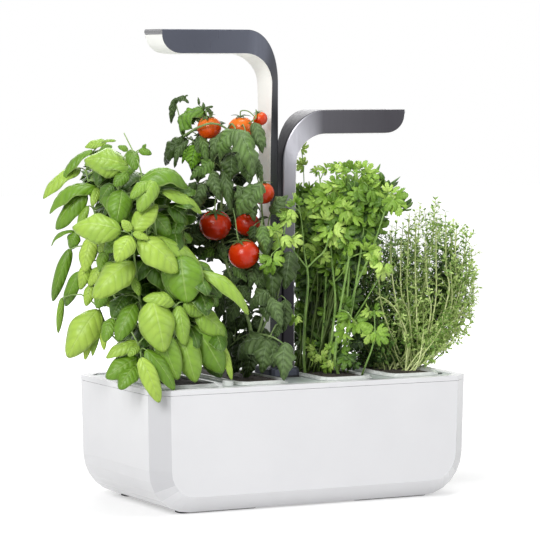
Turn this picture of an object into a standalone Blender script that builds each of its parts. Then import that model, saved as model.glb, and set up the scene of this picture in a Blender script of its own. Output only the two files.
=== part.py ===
"""Countertop hydroponic garden.

A water tank carries a lift-off growing deck.  The deck holds four growing cups with their
plants, a column with two sliding lamps, a level float and the electrics.  Metres, +Z up,
front towards -Y.  The origin lies under the middle of the tank, on the worktop.
"""
import math

import bmesh
import bpy
from mathutils import Vector

# Clearances
GAP = 0.0003
SLIDE_CLEARANCE = 0.0004
OVERRUN = 0.004
TINY = 0.000001
ROUND_SIDES = 16
SMALL_SIDES = 12
THIN_SIDES = 10

# Tank
TANK_WIDTH = 0.330
TANK_DEPTH = 0.1828
TANK_HEIGHT = 0.109
TANK_WALL = 0.0025
TANK_CORNER_RADIUS = 0.040
TANK_CHAMFER = 0.0156
DRAFT_SHARE = 0.0225
CORNER_SEGMENTS = 6
ROUND_PROFILE_SHARE = 0.5
FOOT_HEIGHT = 0.0015
FOOT_LENGTH = 0.078
FOOT_WIDTH = 0.016
FOOT_INSET_X = 0.075
FOOT_INSET_Y = 0.0314
CENTRE_FOOT_RADIUS = 0.020

# Rim and tray
RIM_HEIGHT = 0.0046
RIM_WIDTH = 0.010
RIM_LEDGE = 0.0025
RIM_SKIRT = 0.006
TRAY_THICKNESS = 0.0022
TRAY_RECESS = 0.001

# Growing cups
CUP_SIDE_MARGIN = 0.024
CUP_END_MARGIN = 0.0199
CUP_SPACING = 0.021
COLUMN_BAY = 0.038
CUP_WIDTH = (TANK_WIDTH / 2 - CUP_SIDE_MARGIN - CUP_SPACING - COLUMN_BAY / 2) / 2
CUP_LENGTH = TANK_DEPTH - 2 * CUP_END_MARGIN
CUP_INNER_X = COLUMN_BAY / 2 + CUP_WIDTH / 2
CUP_OUTER_X = CUP_INNER_X + CUP_WIDTH + CUP_SPACING
CUP_DEPTH = 0.062
CUP_WALL = 0.0015
CUP_FLANGE = 0.0025
CUP_FLANGE_THICKNESS = 0.0012
CUP_LIP = 0.0018
CUP_CORNER_RADIUS = 0.010
SOIL_RECESS = 0.002
SOIL_CROWN = 0.0015
SOIL_EDGE = 0.006
WICK_RADIUS = 0.004
WICK_HEAD_RADIUS = 0.009
WICK_HEAD_THICKNESS = 0.0012
WICK_LENGTH = 0.044

# Column and lamps
COLUMN_Y = -0.008
MAST_SPLIT = 0.0042
MAST_THICKNESS = 0.0104
MAST_OUTER_WIDTH = 0.015
MAST_INNER_WIDTH = 0.022
NECK_INNER_WIDTH = 0.0306
NECK_TAPER = 0.130
NECK_SHARES = (0.0, 0.35, 0.7, 1.0)
MAST_LENGTH = 0.287
LEFT_LAMP_TOP = 0.4402
RIGHT_LAMP_TOP = 0.3651
LAMP_REACH = 0.1285
HEAD_HEIGHT = 0.022
HEAD_DEPTH = 0.037
OUTER_BEND_REACH = 0.0375
OUTER_BEND_RISE = 0.050
INNER_BEND_REACH = 0.0296
INNER_BEND_RISE = 0.029
BEND_STEPS = 6
TIP_LENGTH = 0.0195
TIP_HEIGHT = 0.0048
TIP_STEPS = 3
TIP_PLATE = 0.0015
SHELL_WALL = 0.0012
DIFFUSER_THICKNESS = 0.0016
BOARD_THICKNESS = 0.0016
BOARD_WIDTH = 0.026
CHIP_SIZE = 0.005
CHIP_HEIGHT = 0.0012
CHIP_COLUMNS = 6
CHIP_ROW_SPACING = 0.014
LEAD_WIDTH = 0.006
LEAD_THICKNESS = 0.0008
MAST_FOOT_HEIGHT = 0.012
VENT_COUNT = 9
VENT_WIDTH = 0.0016
VENT_PITCH = 0.0065
VENT_LENGTH = 0.0222

# Column guide and well
GUIDE_WALL = 0.0015
GUIDE_PLUG_DEPTH = 0.030
COLLAR_HEIGHT = 0.0075
COLLAR_MARGIN = 0.006
COLLAR_SLOPE = 0.0015
WELL_WALL = 0.0012
WELL_CORNER_RADIUS = 0.003
WELL_FLANGE_THICKNESS = 0.0012
SCREW_RADIUS = 0.0011
SCREW_HEAD_RADIUS = 0.0021
SCREW_HEAD_HEIGHT = 0.0012
SCREW_LENGTH = 0.006

# Electrics
HOUSING_WIDTH = 0.031
HOUSING_DEPTH_START = 0.024
HOUSING_HEIGHT = 0.026
HOUSING_WALL = 0.0015
DRIVER_BOARD_WIDTH = 0.024
DRIVER_BOARD_MARGIN = 0.0038
COIL_SIZE = 0.012
COIL_HEIGHT = 0.010
INLET_WIDTH = 0.024
INLET_BODY_WIDTH = 0.018
INLET_BODY_HEIGHT = 0.013
INLET_PLATE = 0.0022
INLET_DROP = 0.021
SOCKET_WIDTH = 0.012
SOCKET_HEIGHT = 0.0065
SOCKET_DEPTH = 0.010
BUTTON_INSET_X = 0.0172
BUTTON_INSET_Y = 0.0314
BUTTON_X = TANK_WIDTH / 2 - BUTTON_INSET_X
BUTTON_Y = BUTTON_INSET_Y - TANK_DEPTH / 2
BUTTON_RADIUS = 0.0022
BUTTON_PROUD = 0.0008
BUTTON_FLANGE_RADIUS = 0.0031
BUTTON_FLANGE_THICKNESS = 0.001
BUTTON_STEM_RADIUS = 0.001
BUTTON_STEM_LENGTH = 0.002
SWITCH_WIDTH = 0.0084
SWITCH_HEIGHT = 0.008
SWITCH_WALL = 0.0008

# Level float
FLOAT_INSET_Y = 0.0254
FLOAT_X = -(CUP_INNER_X + CUP_OUTER_X) / 2
FLOAT_Y = FLOAT_INSET_Y - TANK_DEPTH / 2
FLOAT_STEM_RADIUS = 0.0018
FLOAT_CAP_RADIUS = 0.005
FLOAT_CAP_HEIGHT = 0.0042
FLOAT_RADIUS = 0.007
FLOAT_HEIGHT = 0.018
FLOAT_STEM_LENGTH = 0.055
FLOAT_GUIDE_RADIUS = 0.0042
FLOAT_GUIDE_LENGTH = 0.018

# Plants
STALK_SINK = 0.002
BASIL_HEIGHT = 0.226
BASIL_SPREAD = 0.100
BASIL_LEAF_LENGTH = 0.070
BASIL_LEAF_WIDTH = 0.050
BASIL_HANGING_LENGTH = 0.084
BASIL_STALK_RADIUS = 0.0026
TOMATO_HEIGHT = 0.262
TOMATO_SPREAD = 0.060
TOMATO_LEAF_LENGTH = 0.066
TOMATO_LEAF_WIDTH = 0.034
TOMATO_STALK_RADIUS = 0.0028
TRUSS_RADIUS = 0.0013
FRUIT_RADIUS = 0.0142
PARSLEY_HEIGHT = 0.200
PARSLEY_SPREAD = 0.078
PARSLEY_LEAF_LENGTH = 0.036
PARSLEY_LEAF_WIDTH = 0.028
PARSLEY_STALK_RADIUS = 0.0012
THYME_HEIGHT = 0.160
THYME_SPREAD = 0.066
THYME_STALK_RADIUS = 0.0012
LEAF_THICKNESS = 0.0018
CROWN_RADIUS = 0.014
CROWN_HEIGHT = 0.007
PLANT_CLEARANCE = 0.003
REGION_MARGIN = 0.0008
PLANT_OVERHANG = 0.0085

# How the plants are divided over the deck
BASIL_BORDER_SHARE = 0.28
THYME_BORDER_SHARE = 0.17

# How a stalk or a leaf is drawn; angles in degrees
STALK_SIDES = 4
SLANTED_SHARES = (0.31, 0.87, 0.38)
TIP_SHARE = 0.45
LEAF_THIN_SHARE = 0.55
LEAF_CUP_SHARE = 0.16
QUARTER_TURN = 90
GOLDEN_TURN = 137.5
PAIR_STEP_SHARE = 0.03
# Widths and heights of the crown's rings
CROWN_SHARES = ((1.0, 0.0), (0.9, 0.4), (0.5, 1.0))
# Places along a leaf and its width there
BROAD_LEAF_SHARES = ((0.0, 0.06), (0.16, 0.10), (0.42, 0.94), (0.74, 0.82), (1.0, 0.05))
NARROW_LEAF_SHARES = ((0.0, 0.08), (0.22, 0.12), (0.60, 1.0), (1.0, 0.06))

# Basil: ends of its stalks as shares of its spread (x, y) and its height (z)
BASIL_STALK_SHARES = (
    (-0.42, -0.10, 1.00), (0.02, 0.22, 0.90), (-0.72, 0.26, 0.76),
    (0.18, -0.50, 0.70), (-0.45, -0.62, 0.55), (-0.15, 0.55, 0.66),
    (-0.30, -0.50, 0.84), (-0.36, 0.46, 0.86), (-0.05, -0.68, 0.38),
)
BASIL_BRANCH_SHARES = (-0.34, -0.45, 0.16)
# Height of each pair of leaves along its stalk, and the pair's size
BASIL_WHORL_SHARES = ((0.32, 0.94), (0.52, 1.0), (0.68, 0.94), (0.83, 0.84), (0.97, 0.68))
BASIL_STEPS = 6
BASIL_BOW_SHARE = 0.35
BASIL_FIRST_TURN = 37
BASIL_PITCH = 24
BASIL_PITCH_STEP = 12
BASIL_DROOP = 78
HANGING_HEADING = -112
HANGING_PITCH = 18
HANGING_DROOP = 105

# Tomato: ends of its stems, and its fruits with their sizes, as shares
TOMATO_STALK_SHARES = ((-0.10, 0.22, 1.0), (-0.72, 0.62, 0.93), (0.30, 0.20, 0.64))
TOMATO_FRUIT_SHARES = (
    (-0.384, -0.067, 0.885, 0.73), (0.002, -0.333, 0.884, 0.775), (0.264, -0.5, 0.916, 0.465),
    (0.334, -0.567, 0.653, 0.845), (-0.302, -0.10, 0.538, 1.02), (0.148, -0.233, 0.540, 0.73),
    (-0.128, -0.733, 0.442, 0.986),
)
TOMATO_LEAF_LEVELS = (0.25, 0.44, 0.62, 0.80, 0.96)
TOMATO_STEPS = 6
TOMATO_BOW_SHARE = 0.25
TOMATO_FIRST_TURN = 70
TOMATO_PITCH = 35
TOMATO_DROOP = 95
TOMATO_SHRINK_SHARE = 0.05
LEAFLET_TURN = 58
LEAFLET_PITCH = 15
LEAFLET_DROOP = 80
LEAFLET_SHARE = 0.62
TRUSS_BEND_SHARE = 0.6
PATH_TRIES = 24
PATH_SAMPLES = 8
FRUIT_SIDES = 10
FRUIT_ROWS = 7

# Parsley
PARSLEY_STALKS = 26
PARSLEY_STEPS = 4
PARSLEY_BOW_SHARE = 0.3
PARSLEY_FIRST_TURN = 40
PARSLEY_LEAN_SHARE = 0.24
PARSLEY_FOOT_SHARE = 0.6
PARSLEY_SHRINK_SHARE = 0.42
PARSLEY_PULL_SHARE = 0.45
PARSLEY_TIP_SHARE = 0.8
PARSLEY_PITCH = 25
PARSLEY_DROOP = 60
PARSLEY_FAN_TURN = 62
PARSLEY_FAN_PITCH = 6
PARSLEY_FAN_START_SHARE = 1.4
PARSLEY_FAN_STEP_SHARE = 0.07

# Thyme
THYME_TWIGS = 36
THYME_TWIG_SHARES = (1.0, 1.0, 2.8, 1.2, 3.6, 1.2, 3.2, 0.5)
THYME_BALL_SHARE = 1.6
THYME_LEAN_SHARE = 0.55
THYME_CENTRE_SHARE = 0.52
THYME_BOW_SHARE = 0.36
THYME_PULLS = 4
THYME_PULL_SHARE = 0.3

# Heights that the pieces share
TANK_TOP = FOOT_HEIGHT + TANK_HEIGHT
TANK_FLOOR = FOOT_HEIGHT + TANK_WALL
RIM_BOTTOM = TANK_TOP + GAP
RIM_TOP = RIM_BOTTOM + RIM_HEIGHT
TRAY_TOP = RIM_TOP - TRAY_RECESS
TRAY_BOTTOM = TRAY_TOP - TRAY_THICKNESS
LEDGE_TOP = TRAY_BOTTOM - GAP
CUP_SEAT = TRAY_TOP + GAP
CUP_BOTTOM = CUP_SEAT - CUP_DEPTH
CUP_FLOOR = CUP_BOTTOM + CUP_WALL
SOIL_TOP = CUP_SEAT + CUP_FLANGE_THICKNESS + CUP_LIP - SOIL_RECESS
PLANT_BASE = SOIL_TOP + SOIL_CROWN + GAP

PART_NAME = "hydroponic_garden"
CUTTER_NAME = "cutters"


def clear_scene():
    for item in list(bpy.data.objects):
        bpy.data.objects.remove(item, do_unlink=True)


def new_collection(name):
    collection = bpy.data.collections.new(name)
    bpy.context.scene.collection.children.link(collection)
    return collection


def material(name, colour, roughness, metallic=0.0, alpha=1.0):
    """A Principled material, made once and shared by name."""
    found = bpy.data.materials.get(name)
    if found:
        return found
    made = bpy.data.materials.new(name)
    made.use_nodes = True
    shader = made.node_tree.nodes["Principled BSDF"]
    shader.inputs["Base Color"].default_value = (*colour, 1.0)
    shader.inputs["Roughness"].default_value = roughness
    shader.inputs["Metallic"].default_value = metallic
    shader.inputs["Alpha"].default_value = alpha
    made.diffuse_color = (*colour, alpha)
    return made


def white_plastic():
    return material("gloss_white", (0.86, 0.86, 0.88), 0.22)


def tray_plastic():
    return material("tray_grey_green", (0.62, 0.68, 0.64), 0.35)


def cup_plastic():
    return material("cup_white", (0.84, 0.85, 0.84), 0.30)


def lamp_metal():
    return material("slate_metal", (0.10, 0.11, 0.14), 0.38, 0.7)


def diffuser_plastic():
    return material("diffuser", (0.84, 0.84, 0.80), 0.45)


def dark_plastic():
    return material("dark_plastic", (0.05, 0.05, 0.055), 0.45)


def board_green():
    return material("circuit_board", (0.03, 0.16, 0.08), 0.5)


def steel():
    return material("steel", (0.6, 0.6, 0.62), 0.3, 1.0)


def rubber():
    return material("rubber", (0.03, 0.03, 0.03), 0.8)


def soil_brown():
    return material("soil", (0.05, 0.035, 0.025), 0.95)


def wick_felt():
    return material("wick_felt", (0.75, 0.73, 0.68), 0.95)


def add_mesh(name, bm, look, place="parts", smooth=False):
    """Turn a bmesh into a named object in the parts or the cutters collection."""
    mesh = bpy.data.meshes.new(name)
    bmesh.ops.recalc_face_normals(bm, faces=bm.faces)
    bm.to_mesh(mesh)
    bm.free()
    if look:
        mesh.materials.append(look)
    if smooth:
        mesh.shade_smooth()
        mesh.set_sharp_from_angle(angle=math.radians(35))
    made = bpy.data.objects.new(name, mesh)
    COLLECTIONS[place].objects.link(made)
    if place == "cutters":
        hide_guide(made)
    return made


def hide_guide(guide):
    guide.hide_render = True
    guide.display_type = "WIRE"


def boolean(target, operand, operation, solver="EXACT"):
    """Cut or join with one object or with every object of a collection."""
    change = target.modifiers.new(operation.lower(), "BOOLEAN")
    change.operation = operation
    change.solver = solver
    if isinstance(operand, bpy.types.Collection):
        change.operand_type = "COLLECTION"
        change.collection = operand
    else:
        change.object = operand
    return change


def operand_collection(name):
    """A collection of guides inside the cutters, to join or to cut with at once."""
    made = bpy.data.collections.new(name)
    COLLECTIONS["cutters"].children.link(made)
    return made


def link_guide(name, bm, collection):
    made = add_mesh(name, bm, None, "cutters")
    COLLECTIONS["cutters"].objects.unlink(made)
    collection.objects.link(made)
    return made


def box_mesh(low, high):
    bm = bmesh.new()
    bmesh.ops.create_cube(bm, size=1.0)
    size = Vector(high) - Vector(low)
    bmesh.ops.scale(bm, vec=size, verts=bm.verts)
    bmesh.ops.translate(bm, vec=(Vector(high) + Vector(low)) / 2, verts=bm.verts)
    return bm


def box(name, low, high, look, place="parts"):
    return add_mesh(name, box_mesh(low, high), look, place)


def loft(rings, closed=False):
    """Join rings of equal length with quads; cap both ends, or close the last to the first."""
    bm = bmesh.new()
    rows = [[bm.verts.new(point) for point in ring] for ring in rings]
    count = len(rows[0])
    pairs = list(zip(rows, rows[1:]))
    if closed:
        pairs.append((rows[-1], rows[0]))
    for row, after in pairs:
        for i in range(count):
            j = (i + 1) % count
            bm.faces.new((row[i], row[j], after[j], after[i]))
    if not closed:
        bm.faces.new(rows[0])
        bm.faces.new(rows[-1])
    return bm


def chamfered_outline(half_x, half_y, chamfer, z):
    """Eight points of a rectangle with cut corners."""
    return [
        (half_x - chamfer, -half_y, z),
        (half_x, chamfer - half_y, z),
        (half_x, half_y - chamfer, z),
        (half_x - chamfer, half_y, z),
        (chamfer - half_x, half_y, z),
        (-half_x, half_y - chamfer, z),
        (-half_x, chamfer - half_y, z),
        (chamfer - half_x, -half_y, z),
    ]


def rounded_outline(centre_x, centre_y, half_x, half_y, radius, z, steps=2):
    """Points of a rectangle with round corners, counter-clockwise."""
    points = []
    for corner, (sx, sy) in enumerate(((1, -1), (1, 1), (-1, 1), (-1, -1))):
        for step in range(steps + 1):
            turn = math.radians(90 * (corner - 1 + step / steps))
            x = centre_x + sx * (half_x - radius) + radius * math.cos(turn)
            y = centre_y + sy * (half_y - radius) + radius * math.sin(turn)
            points.append((x, y, z))
    return points


def round_outline(centre_x, centre_y, radius, z, sides=ROUND_SIDES):
    turns = [math.tau * i / sides for i in range(sides)]
    return [(centre_x + radius * math.cos(t), centre_y + radius * math.sin(t), z) for t in turns]


def plate(name, outlines, low, high, look):
    """A flat plate from a 2D curve: the first outline is its edge, the others are holes."""
    curve = bpy.data.curves.new(name, "CURVE")
    curve.dimensions = "2D"
    curve.fill_mode = "BOTH"
    curve.extrude = (high - low) / 2
    for outline in outlines:
        spline = curve.splines.new("POLY")
        spline.points.add(len(outline) - 1)
        for point, (x, y, _) in zip(spline.points, outline):
            point.co = (x, y, 0, 1)
        spline.use_cyclic_u = True
    drawn = bpy.data.objects.new(name + "_curve", curve)
    drawn.location = (0, 0, (high + low) / 2)
    return curve_to_mesh(name, drawn, look)


def curve_to_mesh(name, drawn, look, place="parts", smooth=False):
    """Make a mesh object of a curve object, with its caps welded, and remove the curve."""
    COLLECTIONS[place].objects.link(drawn)
    bpy.context.view_layer.update()
    depsgraph = bpy.context.evaluated_depsgraph_get()
    mesh = bpy.data.meshes.new_from_object(drawn.evaluated_get(depsgraph))
    bm = bmesh.new()
    bm.from_mesh(mesh)
    bm.transform(drawn.matrix_world)
    bmesh.ops.remove_doubles(bm, verts=bm.verts, dist=TINY)
    bpy.data.meshes.remove(mesh)
    curve = drawn.data
    bpy.data.objects.remove(drawn, do_unlink=True)
    bpy.data.curves.remove(curve)
    return add_mesh(name, bm, look, place, smooth)


def turned(name, profile, centre, look, steps=SMALL_SIDES):
    """A solid of revolution about Z: profile points (radius, z) run down the outer side."""
    bm = bmesh.new()
    verts = [bm.verts.new((radius, 0, z)) for radius, z in profile]
    for start, end in zip(verts, verts[1:]):
        bm.edges.new((start, end))
    mesh = bpy.data.meshes.new(name)
    bm.to_mesh(mesh)
    bm.free()
    mesh.materials.append(look)
    made = bpy.data.objects.new(name, mesh)
    made.location = centre
    COLLECTIONS["parts"].objects.link(made)
    screw = made.modifiers.new("turn", "SCREW")
    screw.steps = steps
    screw.render_steps = steps
    screw.use_merge_vertices = True
    screw.merge_threshold = TINY
    screw.use_smooth_shade = True
    return made


def draft_at(z):
    """How far the tank's walls lean in at a height."""
    return DRAFT_SHARE * (TANK_TOP - z)


def planter_tank():
    """The white shell: round lower corners along the sides, a chamfer around front and back."""
    low = (-TANK_WIDTH / 2, -TANK_DEPTH / 2, FOOT_HEIGHT)
    high = (TANK_WIDTH / 2, TANK_DEPTH / 2, TANK_TOP)
    bm = box_mesh(low, high)

    def runs_low_along_y(edge):
        a, b = edge.verts[0].co, edge.verts[1].co
        return abs(a.y - b.y) > TINY and max(a.z, b.z) < FOOT_HEIGHT + TINY

    def bounds_an_end(edge):
        a, b = edge.verts[0].co, edge.verts[1].co
        at_end = abs(abs(a.y) - TANK_DEPTH / 2) < TINY and abs(a.y - b.y) < TINY
        return at_end and min(a.z, b.z) < TANK_TOP - TINY

    lower = [edge for edge in bm.edges if runs_low_along_y(edge)]
    bmesh.ops.bevel(bm, geom=lower, offset=TANK_CORNER_RADIUS, offset_type="OFFSET",
                    segments=CORNER_SEGMENTS, profile=ROUND_PROFILE_SHARE, affect="EDGES")
    ends = [edge for edge in bm.edges if bounds_an_end(edge)]
    bmesh.ops.bevel(bm, geom=ends, offset=TANK_CHAMFER, offset_type="OFFSET",
                    segments=1, profile=ROUND_PROFILE_SHARE, affect="EDGES")
    bm.normal_update()
    lid = [face for face in bm.faces if min(v.co.z for v in face.verts) > TANK_TOP - TINY]
    bmesh.ops.delete(bm, geom=lid, context="FACES")
    for vert in bm.verts:
        lean = draft_at(vert.co.z)
        vert.co.x *= 1 - lean / (TANK_WIDTH / 2)
        vert.co.y *= 1 - lean / (TANK_DEPTH / 2)
    tank = add_mesh("planter_tank", bm, white_plastic())
    wall = tank.modifiers.new("wall", "SOLIDIFY")
    wall.thickness = TANK_WALL
    wall.offset = -1
    wall.use_even_offset = True
    half = INLET_WIDTH / 2 + SLIDE_CLEARANCE
    notch = box("inlet_notch", (-half, TANK_DEPTH / 2 - TANK_CHAMFER, TANK_TOP - INLET_DROP - GAP),
                (half, TANK_DEPTH / 2 + OVERRUN, TANK_TOP + OVERRUN), None, "cutters")
    boolean(tank, notch, "DIFFERENCE")


def feet():
    """Four long pads and one round pad under the middle."""
    for row, sy in (("front", -1), ("rear", 1)):
        for side, sx in (("left", -1), ("right", 1)):
            x = sx * (TANK_WIDTH / 2 - FOOT_INSET_X)
            y = sy * (TANK_DEPTH / 2 - FOOT_INSET_Y)
            low = rounded_outline(x, y, FOOT_LENGTH / 2, FOOT_WIDTH / 2, FOOT_WIDTH / 4, 0)
            high = [(px, py, FOOT_HEIGHT - GAP) for px, py, _ in low]
            add_mesh(f"foot_{row}_{side}", loft([low, high]), rubber())
    low = round_outline(0, 0, CENTRE_FOOT_RADIUS, 0)
    high = round_outline(0, 0, CENTRE_FOOT_RADIUS, FOOT_HEIGHT - GAP)
    add_mesh("foot_centre", loft([low, high]), rubber(), smooth=True)


def rim_frame():
    """The rim: it sits on the tank's edge, its skirt drops inside and its ledge holds the tray."""
    half_x = TANK_WIDTH / 2
    half_y = TANK_DEPTH / 2
    fit = TANK_WALL + draft_at(TANK_TOP - RIM_SKIRT) + SLIDE_CLEARANCE

    def outline(inset, z):
        chamfer = TANK_CHAMFER - inset * (2 - math.sqrt(2))
        return chamfered_outline(half_x - inset, half_y - inset, chamfer, z)

    inner = RIM_WIDTH
    ledge = RIM_WIDTH + RIM_LEDGE
    rings = [
        outline(0, RIM_BOTTOM),
        outline(0, RIM_TOP),
        outline(inner, RIM_TOP),
        outline(inner, LEDGE_TOP),
        outline(ledge, LEDGE_TOP),
        outline(ledge, TANK_TOP - RIM_SKIRT),
        outline(fit, TANK_TOP - RIM_SKIRT),
        outline(fit, RIM_BOTTOM),
    ]
    add_mesh("rim_frame", loft(rings, closed=True), white_plastic())
    return outline(inner + SLIDE_CLEARANCE, TRAY_TOP)


def well_half_sizes():
    """Outer half sizes of the guide's plug, which the well and the tray are cut to."""
    half_x = MAST_SPLIT / 2 + MAST_THICKNESS + SLIDE_CLEARANCE + GUIDE_WALL
    half_y = MAST_INNER_WIDTH / 2 + SLIDE_CLEARANCE + GUIDE_WALL
    return half_x, half_y


def cup_places():
    return (
        ("basil", -CUP_OUTER_X),
        ("tomato", -CUP_INNER_X),
        ("parsley", CUP_INNER_X),
        ("thyme", CUP_OUTER_X),
    )


def growing_tray(edge):
    """The plate that closes the tank, with openings for the cups, the column and the water."""
    outlines = [edge]
    for _, x in cup_places():
        outlines.append(rounded_outline(x, 0, CUP_WIDTH / 2 + SLIDE_CLEARANCE,
                                        CUP_LENGTH / 2 + SLIDE_CLEARANCE,
                                        CUP_CORNER_RADIUS + SLIDE_CLEARANCE, 0))
    half_x, half_y = well_half_sizes()
    fit = GAP + WELL_WALL + GAP
    outlines.append(rounded_outline(0, COLUMN_Y, half_x + fit, half_y + fit,
                                    WELL_CORNER_RADIUS + fit, 0))
    outlines.append(round_outline(FLOAT_X, FLOAT_Y, FLOAT_STEM_RADIUS + SLIDE_CLEARANCE, 0, SMALL_SIDES))
    outlines.append(round_outline(BUTTON_X, BUTTON_Y, BUTTON_RADIUS + SLIDE_CLEARANCE, 0, SMALL_SIDES))
    outlines.append(rounded_outline(FLOAT_X, -FLOAT_Y, FLOAT_CAP_RADIUS, FLOAT_RADIUS,
                                    FLOAT_CAP_RADIUS / 2, 0))
    plate("growing_tray", outlines, TRAY_BOTTOM, TRAY_TOP, tray_plastic())


def growing_cup(name, x):
    """A cup with a flange on the tray and a raised lip, its soil and its wick."""
    outer_x = CUP_WIDTH / 2
    outer_y = CUP_LENGTH / 2

    def ring(offset, z):
        radius = max(CUP_CORNER_RADIUS + offset, CUP_WALL)
        return rounded_outline(x, 0, outer_x + offset, outer_y + offset, radius, z)

    flange_top = CUP_SEAT + CUP_FLANGE_THICKNESS
    lip_top = flange_top + CUP_LIP
    rings = [
        ring(-CUP_WALL, CUP_FLOOR),
        ring(-CUP_WALL, lip_top),
        ring(0, lip_top),
        ring(0, flange_top),
        ring(CUP_FLANGE, flange_top),
        ring(CUP_FLANGE, CUP_SEAT),
        ring(0, CUP_SEAT),
        ring(0, CUP_BOTTOM),
    ]
    cup = add_mesh(f"cup_{name}", loft(rings), cup_plastic())
    hole = round_outline(x, 0, WICK_RADIUS + SLIDE_CLEARANCE, CUP_BOTTOM - OVERRUN, THIN_SIDES)
    top = [(px, py, CUP_FLOOR + OVERRUN) for px, py, _ in hole]
    boolean(cup, add_mesh(f"wick_hole_{name}", loft([hole, top]), None, "cutters"), "DIFFERENCE")
    head_low = CUP_FLOOR + GAP
    head_top = head_low + WICK_HEAD_THICKNESS
    profile = ((0, head_top), (WICK_HEAD_RADIUS, head_top), (WICK_HEAD_RADIUS, head_low),
               (WICK_RADIUS, head_low), (WICK_RADIUS, CUP_BOTTOM - WICK_LENGTH),
               (0, CUP_BOTTOM - WICK_LENGTH))
    turned(f"wick_{name}", profile, (x, 0, 0), wick_felt(), steps=THIN_SIDES)
    inset = -CUP_WALL - SLIDE_CLEARANCE
    soil_low = head_top + GAP
    rings = [
        ring(inset, soil_low),
        ring(inset, SOIL_TOP),
        ring(inset - SOIL_EDGE, SOIL_TOP + SOIL_CROWN),
    ]
    add_mesh(f"soil_{name}", loft(rings), soil_brown())


def mast_well():
    """A dry well that hangs from the tray and takes the lower ends of both masts."""
    half_x, half_y = well_half_sizes()
    inner_x = half_x + GAP
    inner_y = half_y + GAP
    floor = TANK_FLOOR + GAP

    def ring(grow_x, grow_y, z):
        radius = WELL_CORNER_RADIUS + min(grow_x, grow_y)
        return rounded_outline(0, COLUMN_Y, inner_x + grow_x, inner_y + grow_y, radius, z)

    flange_top = CUP_SEAT + WELL_FLANGE_THICKNESS
    rings = [
        ring(0, 0, floor + WELL_WALL),
        ring(0, 0, flange_top),
        ring(WELL_WALL, COLLAR_MARGIN, flange_top),
        ring(WELL_WALL, COLLAR_MARGIN, CUP_SEAT),
        ring(WELL_WALL, WELL_WALL, CUP_SEAT),
        ring(WELL_WALL, WELL_WALL, floor),
    ]
    add_mesh("mast_well", loft(rings), dark_plastic())
    return flange_top


def mast_outline(side, z, grow=0.0):
    """The mast's trapezoid, wide on the diffuser side, narrow on the outer side."""
    near = side * (MAST_SPLIT / 2 - grow)
    far = side * (MAST_SPLIT / 2 + MAST_THICKNESS + grow)
    narrow = MAST_OUTER_WIDTH / 2 + grow
    wide = MAST_INNER_WIDTH / 2 + grow
    return [(near, COLUMN_Y - narrow, z), (far, COLUMN_Y - wide, z),
            (far, COLUMN_Y + wide, z), (near, COLUMN_Y + narrow, z)]


def mast_guide(flange_top):
    """The collar on the tray with a plug in the well: two mast passages side by side."""
    half_x, half_y = well_half_sizes()
    seat = flange_top + GAP
    top = seat + COLLAR_HEIGHT

    def ring(grow_x, grow_y, z):
        radius = WELL_CORNER_RADIUS + min(grow_x, grow_y)
        return rounded_outline(0, COLUMN_Y, half_x + grow_x, half_y + grow_y, radius, z)

    side = GAP + WELL_WALL
    rings = [
        ring(0, 0, seat - GUIDE_PLUG_DEPTH),
        ring(0, 0, seat),
        ring(side, COLLAR_MARGIN, seat),
        ring(side, COLLAR_MARGIN, top - COLLAR_SLOPE),
        ring(side - COLLAR_SLOPE, COLLAR_MARGIN - COLLAR_SLOPE, top),
    ]
    guide = add_mesh("mast_guide", loft(rings), lamp_metal())
    for name, sign in (("left", -1), ("right", 1)):
        low = mast_outline(sign, seat - GUIDE_PLUG_DEPTH - OVERRUN, SLIDE_CLEARANCE)
        high = mast_outline(sign, top + OVERRUN, SLIDE_CLEARANCE)
        passage = add_mesh(f"passage_{name}", loft([low, high]), None, "cutters")
        boolean(guide, passage, "DIFFERENCE")
    for name, sign in (("front", -1), ("rear", 1)):
        y = COLUMN_Y + sign * (half_y + COLLAR_MARGIN / 2)
        hole = round_outline(0, y, SCREW_RADIUS + GAP, seat - OVERRUN, THIN_SIDES)
        ceiling = [(px, py, top + OVERRUN) for px, py, _ in hole]
        bore = add_mesh(f"screw_bore_{name}", loft([hole, ceiling]), None, "cutters")
        boolean(guide, bore, "DIFFERENCE")
        head = top + GAP
        profile = ((0, head + SCREW_HEAD_HEIGHT), (SCREW_HEAD_RADIUS / 2, head + SCREW_HEAD_HEIGHT),
                   (SCREW_HEAD_RADIUS, head), (SCREW_RADIUS, head),
                   (SCREW_RADIUS, head - SCREW_LENGTH), (0, head - SCREW_LENGTH))
        turned(f"guide_screw_{name}", profile, (0, y, 0), steel(), steps=THIN_SIDES)


def smooth_share(share):
    return share * share * (3 - 2 * share)


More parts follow.
